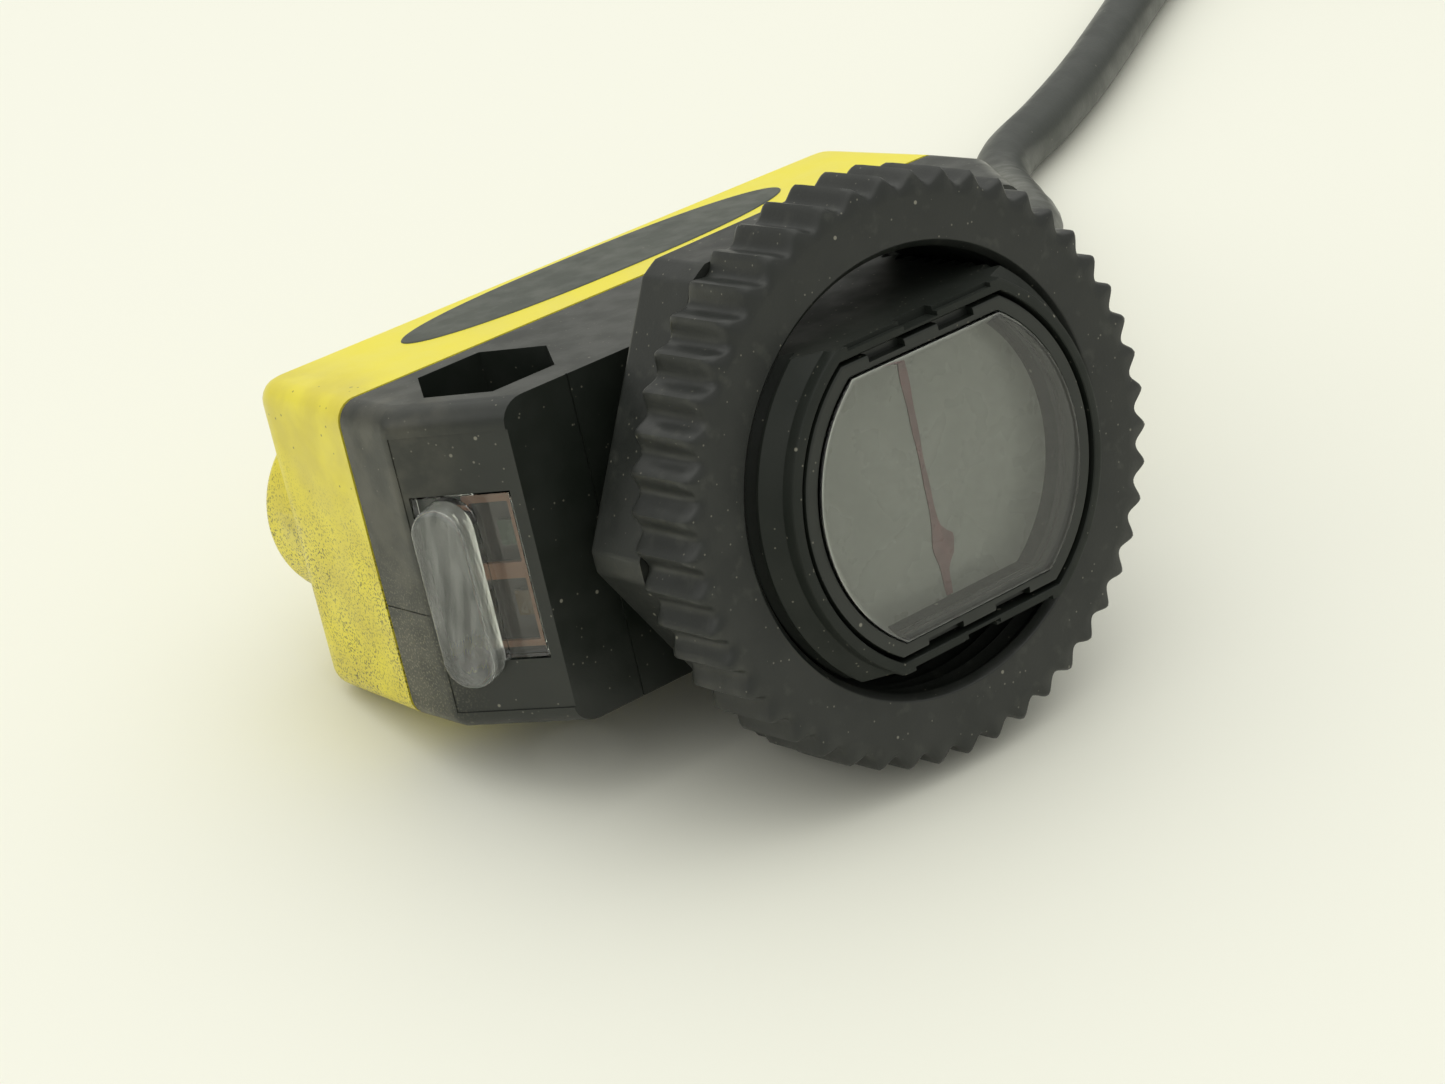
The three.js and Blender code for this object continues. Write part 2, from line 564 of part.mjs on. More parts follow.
const potFrontX = BOARD_BACK_X - GAP;
const potBackX = REAR_X + WALL + 0.4;
[['gain', 1], ['mode', -1]].forEach(([kind, side]) => {
  const z = side * ADJUSTER_Z;
  const body = box([potBackX, potFrontX], [BOSS_Y - 3, BOSS_Y + 3], [z - 3, z + 3]);
  const shaftHole = discX(1.5, potBackX - 1, potFrontX - 1.5, 20).translate([0, BOSS_Y, z]);
  addPiece(sensor, kind === 'gain' ? 'gain_potentiometer' : 'mode_switch', body.subtract(shaftHole),
    kind === 'gain' ? 0x2f5fa8 : 0x2b2b2b, 0.4);

  const headTop = BOSS_TOP_X + 0.9;
  const rotor = union(
    discX(WELL_R - 0.35, headTop, headTop + 1.6, 28),
    discX(1.2, headTop + 1.5, potFrontX - 2, 20),
  );
  const slot = box([headTop - 1, headTop + 0.9], [-WELL_R, WELL_R], [-0.4, 0.4]);
  const pointer = box([headTop - 1, headTop + 0.5], [0, WELL_R], [-0.25, 0.25]);
  const shaped = kind === 'gain' ? cut(rotor, slot) : cut(rotor, slot, pointer.rotate([90, 0, 0]));
  addPiece(sensor, kind === 'gain' ? 'gain_adjuster' : 'mode_selector', shaped.translate([0, BOSS_Y, z]),
    0xe8e6dc, 0.4);

  const seal = ringX(1.5, WELL_R - 0.3, headTop + 2.1, headTop + 3, 24);
  addPiece(sensor, `${kind}_seal`, seal.translate([0, BOSS_Y, z]), RUBBER, 0.85);
});

// ---------------------------------------------------------------- cable entry

function cableBoot() {
  const innerWallY = FAR_Y - 1.1 - WALL;
  const profile = [
    [CABLE_R + GAP, innerWallY - GAP - 1.6], [EXIT_R + 1.3, innerWallY - GAP - 1.6],
    [EXIT_R + 1.3, innerWallY - GAP], [EXIT_R, innerWallY - GAP],
    [EXIT_R, FAR_Y + GAP], [EXIT_R + 1.1, FAR_Y + GAP], [EXIT_R + 1.1, FAR_Y + 1.6],
  ];
  const rings = 3;
  const pitch = (BOOT_END_Y - FAR_Y - 2.2) / rings;
  for (let k = 0; k < rings; k += 1) {
    const y = FAR_Y + 2 + k * pitch;
    const radius = EXIT_R + 0.6 - (k * 0.75) / rings;
    profile.push([radius - 0.45, y], [radius, y + 0.35], [radius, y + pitch - 0.75], [radius - 0.45, y + pitch - 0.4]);
  }
  profile.push([CABLE_R + 0.9, BOOT_END_Y], [CABLE_R + GAP, BOOT_END_Y], [CABLE_R + GAP, innerWallY - GAP - 1.6]);
  const points = profile.map(([radius, y]) => new THREE.Vector2(radius, y));
  return toSolid(new THREE.LatheGeometry(points, 18)).translate([EXIT_X, 0, 0]);
}

addPiece(sensor, 'cable_boot', cableBoot(), RUBBER, 0.6);

// four insulated cores from the cable to the board's rear side
const CORES = [['core_brown', 0x7a4a2a], ['core_blue', 0x2d59b0], ['core_black', 0x1c1c1c], ['core_white', 0xe6e6e0]];
CORES.forEach(([name, colour], k) => {
  const angle = (k + 0.5) * (Math.PI / 2);
  const startX = EXIT_X + 1.1 * Math.cos(angle);
  const startZ = 1.1 * Math.sin(angle);
  const endZ = 4.5 - 3 * k;
  const path = new THREE.CatmullRomCurve3([
    new THREE.Vector3(startX, FAR_Y, startZ),
    new THREE.Vector3(startX, FAR_Y - 2, startZ),
    new THREE.Vector3(startX - 0.5, FAR_Y - 4.6, startZ * 1.1),
    new THREE.Vector3(EXIT_X - 1.2, FAR_Y - 11, (startZ + 2 * endZ) / 3),
    new THREE.Vector3(EXIT_X + 0.45, FAR_Y - 15 + k, endZ),
  ]);
  const section = new THREE.Shape();
  section.absarc(0, 0, 0.55, 0, 2 * Math.PI, false);
  const tube = new THREE.ExtrudeGeometry(section, { steps: 10, extrudePath: path, curveSegments: 3, bevelEnabled: false });
  addPiece(sensor, name, toSolid(tube), colour, 0.5);
});

// ---------------------------------------------------------------- cable and connector, on the surface

const routePoints = CABLE_ROUTE.map(([x, y, z]) => new THREE.Vector3(x, y, z));

function cableTube() {
  const path = new THREE.CatmullRomCurve3(routePoints, false, 'centripetal');
  const section = new THREE.Shape();
  section.absarc(0, 0, CABLE_R, 0, 2 * Math.PI, false);
  return toSolid(new THREE.ExtrudeGeometry(section, {
    steps: 40, extrudePath: path, curveSegments: 4, bevelEnabled: false,
  }));
}

addPiece(cord, 'cable', cableTube(), 0x3c3f38, 0.55);

// the connector is drawn along +y with its cable end at the origin
const plug = new THREE.Group();
const turnedY = (profile, steps = 20) =>
  toSolid(new THREE.LatheGeometry(profile.map(([radius, y]) => new THREE.Vector2(radius, y)), steps));

function plugGrip() {
  const profile = [[0, 0], [CABLE_R + 0.9, 0], [CABLE_R + 1.5, 3]];
  for (let k = 0; k < 4; k += 1) {
    profile.push([CABLE_R + 1.7 + k * 0.55, 3.6 + k * 1.6], [CABLE_R + 2.2 + k * 0.5, 4 + k * 1.6],
      [CABLE_R + 2.2 + k * 0.5, 4.8 + k * 1.6]);
  }
  profile.push([PLUG_GRIP_R, 10.6], [PLUG_GRIP_R, PLUG_GRIP_LONG - 0.5], [PLUG_GRIP_R - 0.5, PLUG_GRIP_LONG], [0, PLUG_GRIP_LONG]);
  return turnedY(profile);
}

addPiece(plug, 'connector_grip', plugGrip(), RUBBER, 0.6);

const shellStartY = PLUG_GRIP_LONG + GAP;
const nutStartY = PLUG_GRIP_LONG + 2 * GAP;
const shellEndY = nutStartY + PLUG_NUT_LONG + 6.2;

function plugNut() {
  const outline = new THREE.Shape();
  const ridges = 24;
  for (let k = 0; k < ridges; k += 1) {
    const angle = (k * 2 * Math.PI) / ridges;
    const next = ((k + 0.5) * 2 * Math.PI) / ridges;
    const place = (radius, turn) => [radius * Math.cos(turn), radius * Math.sin(turn)];
    if (k === 0) outline.moveTo(...place(PLUG_NUT_R, angle));
    else outline.lineTo(...place(PLUG_NUT_R, angle));
    outline.lineTo(...place(PLUG_NUT_R - 0.5, next));
  }
  outline.closePath();
  const knurled = new THREE.ExtrudeGeometry(outline, { depth: PLUG_NUT_LONG - 3, bevelEnabled: false });
  knurled.rotateX(-Math.PI / 2);
  knurled.translate(0, nutStartY, 0);
  const profile = [[0, nutStartY + 1], [PLUG_THREAD_R, nutStartY + 1]];
  const threadStart = nutStartY + PLUG_NUT_LONG - 2.6;
  for (let k = 0; k < 6; k += 1) {
    profile.push([PLUG_THREAD_R - 0.4, threadStart + k], [PLUG_THREAD_R, threadStart + k + 0.5]);
  }
  profile.push([PLUG_THREAD_R - 0.6, threadStart + 6.2], [0, threadStart + 6.2]);
  const sleeve = turnedY(profile);
  const bore = turnedY([[0, nutStartY - 1], [PLUG_SHELL_R + GAP, nutStartY - 1],
    [PLUG_SHELL_R + GAP, shellEndY + 3], [0, shellEndY + 3]]);
  return union(toSolid(knurled), sleeve).subtract(bore);
}

addPiece(plug, 'connector_nut', plugNut(), METAL, 0.35, 0.9);

function plugShell() {
  const cup = turnedY([[0, shellStartY], [PLUG_SHELL_R, shellStartY], [PLUG_SHELL_R, shellEndY - 0.4],
    [PLUG_SHELL_R - 0.3, shellEndY], [0, shellEndY]]);
  const hollow = turnedY([[0, shellEndY - 8.5], [PLUG_SHELL_R - 0.8, shellEndY - 8.5],
    [PLUG_SHELL_R - 0.8, shellEndY + 1], [0, shellEndY + 1]]);
  return cut(cup, hollow);
}

addPiece(plug, 'connector_insert', plugShell(), 0x202220, 0.5);

// pin 5 stands in the middle, the others on a circle round it
for (let k = 0; k < 5; k += 1) {
  const angle = ((2 * k + 1) * Math.PI) / 4;
  const reach = k === 4 ? 0 : PIN_CIRCLE_R;
  const start = shellEndY - 8.5 + GAP;
  const end = shellEndY - 0.8;
  const pin = turnedY([[0, start], [PIN_R, start], [PIN_R, end - 0.4], [PIN_R * 0.5, end], [0, end]], 12);
  addPiece(plug, `connector_pin_${k + 1}`, pin.translate([reach * Math.cos(angle), 0, reach * Math.sin(angle)]),
    0xd4a945, 0.3, 0.9);
}

const heading = new THREE.Vector3(...PLUG_HEADING).normalize();
plug.quaternion.setFromUnitVectors(ALONG, heading);
plug.position.copy(routePoints.at(-1)).addScaledVector(heading, GAP);
cord.add(plug);

// ---------------------------------------------------------------- the sensor lies on its nut and rear edge

sensor.rotation.y = THREE.MathUtils.degToRad(-TILT);
sensor.position.set(LAY_DOWN.x, LAY_DOWN.y, LAY_DOWN.z);

const part = new THREE.Group();
part.add(sensor);
part.add(cord);
part.updateMatrixWorld(true);

export default part;
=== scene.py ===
import json
import math

import bmesh
import bpy
from mathutils import Matrix, Vector


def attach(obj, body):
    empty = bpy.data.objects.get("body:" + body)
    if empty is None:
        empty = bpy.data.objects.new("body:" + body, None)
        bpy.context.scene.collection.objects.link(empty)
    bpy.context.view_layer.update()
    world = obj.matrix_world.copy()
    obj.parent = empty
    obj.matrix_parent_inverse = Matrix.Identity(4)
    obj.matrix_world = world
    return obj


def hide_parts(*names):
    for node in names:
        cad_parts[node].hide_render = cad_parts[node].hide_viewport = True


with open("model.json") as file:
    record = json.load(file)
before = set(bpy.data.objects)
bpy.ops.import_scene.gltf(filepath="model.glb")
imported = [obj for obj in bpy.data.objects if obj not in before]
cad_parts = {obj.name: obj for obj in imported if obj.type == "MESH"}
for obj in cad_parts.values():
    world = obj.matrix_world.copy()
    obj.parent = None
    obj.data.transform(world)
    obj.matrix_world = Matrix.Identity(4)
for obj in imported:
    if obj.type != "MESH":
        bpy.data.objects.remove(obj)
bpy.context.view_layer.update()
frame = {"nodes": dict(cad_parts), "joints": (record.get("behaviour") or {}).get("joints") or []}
MM = 0.001

# ------------------------------------------------------------------ the sensor's own axes
# Every piece of the sensor is drawn in millimetres: x out of the lens, y along the housing towards
# the cable, z towards the labelled side. The nut's joint says where those axes lie in the frame.

JOINTS = {joint["name"]: joint for joint in frame["joints"]}


def axes_of(joint):
    """The matrix from millimetres along a joint's axis (x) to the frame in metres."""
    x = Vector(joint["axis"]).normalized()
    z = x.cross(Vector((0, 1, 0))).normalized()
    turn = Matrix((x, z.cross(x), z)).transposed().to_4x4()
    return Matrix.Translation(joint["pos_m"]) @ turn @ Matrix.Scale(MM, 4)


SENSOR = axes_of(JOINTS["mounting_nut_turn"])


def extent(node, axes=SENSOR):
    """A CAD node's lowest and highest corner in those axes."""
    back = axes.inverted()
    corners = [back @ vertex.co for vertex in frame["nodes"][node].data.vertices]
    low = Vector([min(c[i] for c in corners) for i in range(3)])
    high = Vector([max(c[i] for c in corners) for i in range(3)])
    return low, high


FRONT_LOW, FRONT_HIGH = extent("front_housing")
REAR_LOW, REAR_HIGH = extent("rear_cover")
NUT_LOW, NUT_HIGH = extent("mounting_nut")
LENS_HIGH = extent("front_lens")[1]
BEZEL_LOW, BEZEL_HIGH = extent("lens_bezel")

# The housing: how far along x its parts reach, the slanting face, its walls and its holes.
HALF_T = -REAR_LOW.z
SEAM_X = (FRONT_LOW.x + REAR_HIGH.x) / 2
SEAM_GAP = FRONT_LOW.x - REAR_HIGH.x
NEAR_Y, FAR_Y = FRONT_LOW.y, FRONT_HIGH.y
REAR_X = -40.6
FRONT_X = -14.2
RIM_X = -22.2
SLANT_Y = 4.5
END_TAPER = 0.9
EDGE_R = 1.6
WALL = 1.8
HOLE_X, HOLE_Y, HOLE_R = -21.5, 18.7, 2.6
HEX_ACROSS, HEX_DEPTH = 9.1, 5.2
# The nose: its thread, the plain rim in front of it, and the socket for the lens.
BARREL_R, BARREL_FLAT, THREAD_PITCH, THREAD_DEPTH = 14.85, 11.5, 1.5, 0.6
RIM_R = 13.7
SOCKET_R, SOCKET_FLAT = 12.9, 10.7
# The boss with the two adjusters, and the cable's way out.
BOSS_Y, BOSS_R, ADJUSTER_Z, WELL_R = -19.0, 7.2, 3.3, 2.85
EXIT_X, EXIT_R = -33.5, 3.7
CABLE_R = 2.5
AXIS_R = 1e-3

# ------------------------------------------------------------------ camera

EYE = Vector((0.1891, -0.1528, 0.1486))
LOOK_AT = Vector((-0.0077, 0.0030, 0.0034))
ROLL = math.radians(-3.88)


def make_camera():
    camera = bpy.data.objects.new("camera", bpy.data.cameras.new("camera"))
    camera.data.sensor_width = 36
    camera.data.lens = 96.5
    camera.data.clip_start = 0.01
    camera.data.clip_end = 20
    look = (LOOK_AT - EYE).to_track_quat("-Z", "Y").to_matrix().to_4x4()
    camera.matrix_world = Matrix.Translation(EYE) @ look @ Matrix.Rotation(ROLL, 4, "Z")
    bpy.context.scene.collection.objects.link(camera)
    bpy.context.scene.camera = camera


make_camera()

# ------------------------------------------------------------------ building meshes


def add_object(name, mesh):
    piece = bpy.data.objects.new(name, mesh)
    bpy.context.scene.collection.objects.link(piece)
    return piece


def solid(name, points, faces):
    mesh = bpy.data.meshes.new(name)
    mesh.from_pydata([tuple(p) for p in points], [], faces)
    work = bmesh.new()
    work.from_mesh(mesh)
    bmesh.ops.remove_doubles(work, verts=work.verts, dist=1e-4)
    bmesh.ops.recalc_face_normals(work, faces=work.faces)
    work.to_mesh(mesh)
    work.free()
    return add_object(name, mesh)


def stack(name, rings, closed=False):
    """A skin over rings of points, each with the same number; capped, or closed back to the first."""
    count = len(rings[0])
    points = [p for ring in rings for p in ring]
    last = len(rings) if closed else len(rings) - 1
    faces = []
    for i in range(last):
        a, b = i * count, ((i + 1) % len(rings)) * count
        for k in range(count):
            n = (k + 1) % count
            faces.append((a + k, a + n, b + n, b + k))
    if not closed:
        faces.append(tuple(range(count))[::-1])
        faces.append(tuple(range((len(rings) - 1) * count, len(rings) * count)))
    return solid(name, points, faces)


def circle(radius, steps):
    return [(radius * math.cos(2 * math.pi * k / steps), radius * math.sin(2 * math.pi * k / steps))
            for k in range(steps)]


def turned_x(name, profile, steps=96, closed=False, y=0.0, z=0.0):
    """A solid of revolution about the x direction, from (radius, x) pairs."""
    rings = [[(x, y + a, z + b) for a, b in circle(max(radius, 1e-3), steps)] for radius, x in profile]
    return stack(name, rings, closed)


def turned_y(name, profile, steps=48, closed=False, x=0.0, z=0.0):
    rings = [[(x + a, y, z + b) for a, b in circle(max(radius, 1e-3), steps)] for radius, y in profile]
    return stack(name, rings, closed)


def turned_z(name, profile, steps=64, x=0.0, y=0.0):
    return stack(name, [[(x + a, y + b, z) for a, b in circle(radius, steps)] for radius, z in profile])


def block(name, x, y, z):
    rings = [[(x[0], y[0], h), (x[1], y[0], h), (x[1], y[1], h), (x[0], y[1], h)] for h in z]
    return stack(name, rings)


def flatted(radius, flat, steps=40):
    """A circle in y and z with its top and bottom cut flat, as a ring of (y, z) points."""
    reach = math.asin(flat / radius)
    ring = []
    for middle in (0, math.pi):
        for k in range(steps + 1):
            angle = middle - reach + 2 * reach * k / steps
            ring.append((radius * math.cos(angle), radius * math.sin(angle)))
    return ring


def prism_x(name, sections):
    """Flatted circles along x, from (radius, flat, x) triples."""
    return stack(name, [[(x, a, b) for a, b in flatted(radius, flat)] for radius, flat, x in sections])


def bake(piece):
    bpy.context.view_layer.update()
    shaped = piece.evaluated_get(bpy.context.evaluated_depsgraph_get())
    mesh = bpy.data.meshes.new_from_object(shaped)
    piece.modifiers.clear()
    piece.data = mesh
    return piece


def combine(piece, operation, *others):
    for other in others:
        modifier = piece.modifiers.new(operation, "BOOLEAN")
        modifier.operation = operation
        modifier.solver = "MANIFOLD"
        modifier.object = other
        bake(piece)
        bpy.data.objects.remove(other)
    return piece


def soften(piece, width, segments=2, angle=32):
    """Rounds the sharp edges a little, as moulding leaves them."""
    modifier = piece.modifiers.new("soften", "BEVEL")
    modifier.width = width
    modifier.segments = segments
    modifier.limit_method = "ANGLE"
    modifier.angle_limit = math.radians(angle)
    modifier.use_clamp_overlap = True
    modifier.miter_outer = "MITER_ARC"
    return bake(piece)


def finish_piece(piece, material, body="sensor", replaces=(), axes=SENSOR, angle=38):
    """Puts a drawn piece into the frame, with its material, and hides the CAD parts it stands for."""
    work = bmesh.new()
    work.from_mesh(piece.data)
    bmesh.ops.remove_doubles(work, verts=work.verts, dist=2e-3)
    bmesh.ops.recalc_face_normals(work, faces=work.faces)
    work.to_mesh(piece.data)
    work.free()
    piece.data.transform(axes)
    piece.data.materials.clear()
    piece.data.materials.append(material)
    piece.data.shade_smooth()
    piece.data.set_sharp_from_angle(angle=math.radians(angle))
    flat = piece.modifiers.new("flat_faces", "WEIGHTED_NORMAL")
    flat.keep_sharp = True
    flat.weight = 100
    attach(piece, body)
    if replaces:
        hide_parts(*replaces)
    return piece


# ------------------------------------------------------------------ materials


class Shader:
    """A material's nodes, made one at a time. Sizes are given in millimetres."""

    def __init__(self, name, colour, roughness, **sockets):
        self.material = bpy.data.materials.new(name)
        self.material.use_nodes = True
        self.tree = self.material.node_tree
        self.base = self.tree.nodes["Principled BSDF"]
        self.base.inputs["Base Color"].default_value = (*colour, 1)
        self.base.inputs["Roughness"].default_value = roughness
        for socket, value in sockets.items():
            self.base.inputs[socket.replace("_", " ")].default_value = value
        self.colour = None
        self.flat_colour = (*colour, 1)
        place = self.tree.nodes.new("ShaderNodeTexCoord")
        scale = self.node("ShaderNodeMapping", Vector=place.outputs["Object"])
        scale.inputs["Scale"].default_value = (1000, 1000, 1000)
        self.place = scale.outputs["Vector"]

    def node(self, kind, **links):
        made = self.tree.nodes.new(kind)
        for socket, value in links.items():
            target = made.inputs[socket]
            if isinstance(value, bpy.types.NodeSocket):
                self.tree.links.new(value, target)
            else:
                target.default_value = value
        return made

    def noise(self, size, detail=3.0, stretch=(1, 1, 1)):
        place = self.place
        if stretch != (1, 1, 1):
            mapped = self.node("ShaderNodeMapping", Vector=self.place)
            mapped.inputs["Scale"].default_value = stretch
            place = mapped.outputs["Vector"]
        made = self.node("ShaderNodeTexNoise", Vector=place, Scale=1 / size, Detail=detail)
        return made.outputs["Fac"]

    def ramp(self, value, low, high, start=0.0, end=1.0):
        made = self.node("ShaderNodeMapRange", Value=value)
        made.interpolation_type = "SMOOTHSTEP"
        for socket, number in zip(("From Min", "From Max", "To Min", "To Max"), (low, high, start, end)):
            made.inputs[socket].default_value = number
        return made.outputs["Result"]

    def times(self, a, b):
        made = self.tree.nodes.new("ShaderNodeMath")
        made.operation = "MULTIPLY"
        for socket, value in zip(made.inputs, (a, b)):
            if isinstance(value, bpy.types.NodeSocket):
                self.tree.links.new(value, socket)
            else:
                socket.default_value = value
        return made.outputs["Value"]

    def specks(self, size, reach, share):
        """Round specks: size is how far apart they are, reach how big, share how many cells have one."""
        cells = self.node("ShaderNodeTexVoronoi", Vector=self.place, Scale=1 / size)
        dot = self.ramp(cells.outputs["Distance"], reach, reach * 0.55)
        grey = self.tree.nodes.new("ShaderNodeSeparateColor")
        self.tree.links.new(cells.outputs["Color"], grey.inputs["Color"])
        chosen = self.ramp(grey.outputs["Red"], 1 - share, 1 - share + 0.02)
        return self.times(dot, chosen)

    def along(self, axis, low, high, start=0.0, end=1.0):
        """A value that runs from start to end along an axis of the frame, between two places in mm."""
        split = self.node("ShaderNodeSeparateXYZ", Vector=self.place)
        return self.ramp(split.outputs[axis], low, high, start, end)

    def mix(self, factor, colour):
        made = self.tree.nodes.new("ShaderNodeMix")
        made.data_type = "RGBA"
        if isinstance(factor, bpy.types.NodeSocket):
            self.tree.links.new(factor, made.inputs["Factor"])
        else:
            made.inputs["Factor"].default_value = factor
        if self.colour is None:
            made.inputs["A"].default_value = self.flat_colour
        else:
            self.tree.links.new(self.colour, made.inputs["A"])
        made.inputs["B"].default_value = (*colour, 1)
        self.colour = made.outputs["Result"]
        self.tree.links.new(self.colour, self.base.inputs["Base Color"])

    def rough(self, value, low, high):
        self.tree.links.new(self.ramp(value, 0.3, 0.7, low, high), self.base.inputs["Roughness"])

    def bump(self, height, depth):
        """Depth is in millimetres."""
        made = self.node("ShaderNodeBump", Height=height, Strength=1.0, Distance=depth * MM)
        earlier = self.base.inputs["Normal"].links
        if earlier:
            self.tree.links.new(earlier[0].from_socket, made.inputs["Normal"])
        self.tree.links.new(made.outputs["Normal"], self.base.inputs["Normal"])


def dusty_black(name, colour=(0.0105, 0.0135, 0.0105), roughness=(0.30, 0.46), dust=0.25, specks=0.3,
                grain=0.006, sheen=0.5):
    shader = Shader(name, colour, roughness[0], Specular_IOR_Level=sheen)
    shader.mix(shader.ramp(shader.noise(9, 4), 0.35, 0.75, 0.0, dust), (0.027, 0.029, 0.025))
    shader.mix(shader.times(shader.specks(0.55, 0.16, specks), 0.75), (0.16, 0.155, 0.125))
    shader.mix(shader.times(shader.specks(1.7, 0.10, 0.25), 0.7), (0.28, 0.27, 0.22))
    shader.rough(shader.noise(3, 4), *roughness)
    shader.bump(shader.noise(0.22, 2), grain)
    return shader


def front_black():
    shader = dusty_black("front_black", roughness=(0.28, 0.44))
    grime = shader.times(shader.along("Y", -21.5, -26.5), shader.along("X", 3.5, -4.5))
    smears = shader.ramp(shader.noise(2.6, 8), 0.38, 0.66, 0.2, 0.75)
    shader.mix(shader.times(grime, smears), (0.075, 0.073, 0.056))
    low = shader.times(grime, shader.along("Z", 19, 8))
    powder = shader.ramp(shader.noise(0.17, 3), 0.54, 0.63, 0.0, 0.9)
    shader.mix(shader.times(low, powder), (0.19, 0.18, 0.125))
    return shader.material


def nut_black():
    shader = dusty_black("nut_black", (0.0115, 0.0135, 0.0115), (0.34, 0.5), 0.3, 0.25, 0.008)
    shader.mix(shader.ramp(shader.noise(1.4, 6), 0.56, 0.74, 0.0, 0.28), (0.060, 0.063, 0.052))
    return shader.material


def yellow_cover():
    shader = Shader("yellow_cover", (0.86, 0.76, 0.055), 0.36, Specular_IOR_Level=0.45)
    shader.mix(shader.ramp(shader.noise(14, 3), 0.3, 0.75, 0.0, 0.25), (0.80, 0.67, 0.06))
    near = shader.along("Y", -20.5, -25.5)
    smears = shader.ramp(shader.noise(4.5, 5), 0.35, 0.65, 0.15, 0.6)
    shader.mix(shader.times(near, smears), (0.60, 0.50, 0.07))
    low = shader.times(near, shader.along("Z", 21, 11))
    patchy = shader.ramp(shader.noise(3.5, 4, (1, 1, 0.5)), 0.3, 0.65, 0.35, 1.0)
    fine = shader.times(patchy, shader.ramp(shader.noise(0.17, 3), 0.53, 0.62, 0.0, 1.0))
    shader.mix(shader.times(low, fine), (0.13, 0.11, 0.03))
    shader.mix(shader.times(low, shader.times(shader.specks(0.5, 0.17, 0.3), 0.8)), (0.075, 0.062, 0.022))
    shader.mix(shader.times(near, shader.times(shader.specks(0.9, 0.13, 0.5), 0.7)), (0.10, 0.085, 0.03))
    shader.mix(shader.times(shader.specks(3.1, 0.06, 0.3), 0.6), (0.22, 0.19, 0.06))
    shader.rough(shader.noise(4, 4), 0.28, 0.46)
    shader.bump(shader.noise(0.4, 2), 0.008)
    return shader.material


def label_grey():
    shader = Shader("label_grey", (0.040, 0.048, 0.038), 0.42)
    shader.mix(shader.ramp(shader.noise(5, 4), 0.35, 0.7, 0.0, 0.5), (0.062, 0.070, 0.055))
    shader.mix(shader.times(shader.specks(1.3, 0.09, 0.3), 0.7), (0.2, 0.2, 0.15))
    shader.rough(shader.noise(2, 4), 0.34, 0.5)
    shader.bump(shader.noise(0.25, 2), 0.006)
    return shader.material


def clear_plastic(name, colour=(0.95, 0.97, 0.95), roughness=0.02, scratches=0.12):
    shader = Shader(name, colour, roughness, Transmission_Weight=1.0, IOR=1.49)
    shader.mix(shader.ramp(shader.noise(2.5, 5), 0.4, 0.8, 0.0, scratches), (0.80, 0.82, 0.78))
    shader.rough(shader.noise(2.5, 4), roughness, roughness + 0.02)
    shader.bump(shader.noise(6, 1), 0.002)
    return shader.material


def frosted_bar():
    shader = Shader("frosted_bar", (0.88, 0.90, 0.86), 0.04, Transmission_Weight=0.97, IOR=1.49)
    shader.mix(shader.ramp(shader.noise(0.8, 3, (1, 1, 0.06)), 0.40, 0.7, 0.0, 0.4), (0.62, 0.64, 0.60))
    shader.rough(shader.noise(0.8, 4), 0.02, 0.12)
    shader.bump(shader.noise(0.55, 2, (1, 1, 0.08)), 0.05)
    clear = shader.ramp(shader.noise(0.9, 2, (1, 1, 0.05)), 0.35, 0.75, 0.94, 0.78)
    shader.tree.links.new(clear, shader.base.inputs["Transmission Weight"])
    return shader.material


def film():
    shader = Shader("film", (0.225, 0.232, 0.205), 0.30, Specular_IOR_Level=0.6)
    shader.mix(shader.ramp(shader.noise(8, 2), 0.35, 0.7, 0.0, 0.5), (0.25, 0.255, 0.23))
    shader.mix(shader.times(shader.specks(2.2, 0.05, 0.3), 0.5), (0.35, 0.35, 0.32))
    shader.rough(shader.noise(3, 3), 0.24, 0.34)
    return shader.material


def adhesive():
    shader = Shader("adhesive", (0.21, 0.095, 0.095), 0.35)
    shader.mix(shader.ramp(shader.noise(1.2, 4, (1, 1, 0.3)), 0.35, 0.7, 0.0, 0.7), (0.105, 0.055, 0.055))
    shader.rough(shader.noise(0.8, 3), 0.25, 0.45)
    return shader.material


def rubber(name, colour, roughness=(0.42, 0.6)):
    shader = Shader(name, colour, roughness[0])
    shader.mix(shader.ramp(shader.noise(8, 2), 0.35, 0.75, 0.0, 0.35), tuple(c * 1.3 + 0.003 for c in colour))
    shader.mix(shader.times(shader.specks(1.6, 0.09, 0.35), 0.5), (0.2, 0.195, 0.16))
    shader.rough(shader.noise(2, 4), *roughness)
    shader.bump(shader.noise(0.3, 2), 0.012)
    return shader.material


def plain_moulding(name, colour, roughness=0.4, metal=0.0, **sockets):
    """Inner parts: an even colour, slightly mottled, with a fine grain."""
    shader = Shader(name, colour, roughness, Metallic=metal, **sockets)
    shader.mix(shader.ramp(shader.noise(1.5, 4), 0.35, 0.7, 0.0, 0.35), tuple(c * 0.75 for c in colour))
    shader.rough(shader.noise(1.0, 3), roughness * 0.85, roughness * 1.2)
    shader.bump(shader.noise(0.2, 2), 0.006)
    return shader.material


def plated_metal():
    shader = Shader("plated_metal", (0.62, 0.61, 0.58), 0.25, Metallic=1.0)
    shader.mix(shader.ramp(shader.noise(3, 4), 0.4, 0.7, 0.0, 0.4), (0.45, 0.44, 0.41))
    shader.rough(shader.noise(0.8, 4), 0.2, 0.38)
    shader.bump(shader.noise(0.2, 2), 0.006)
    return shader.material


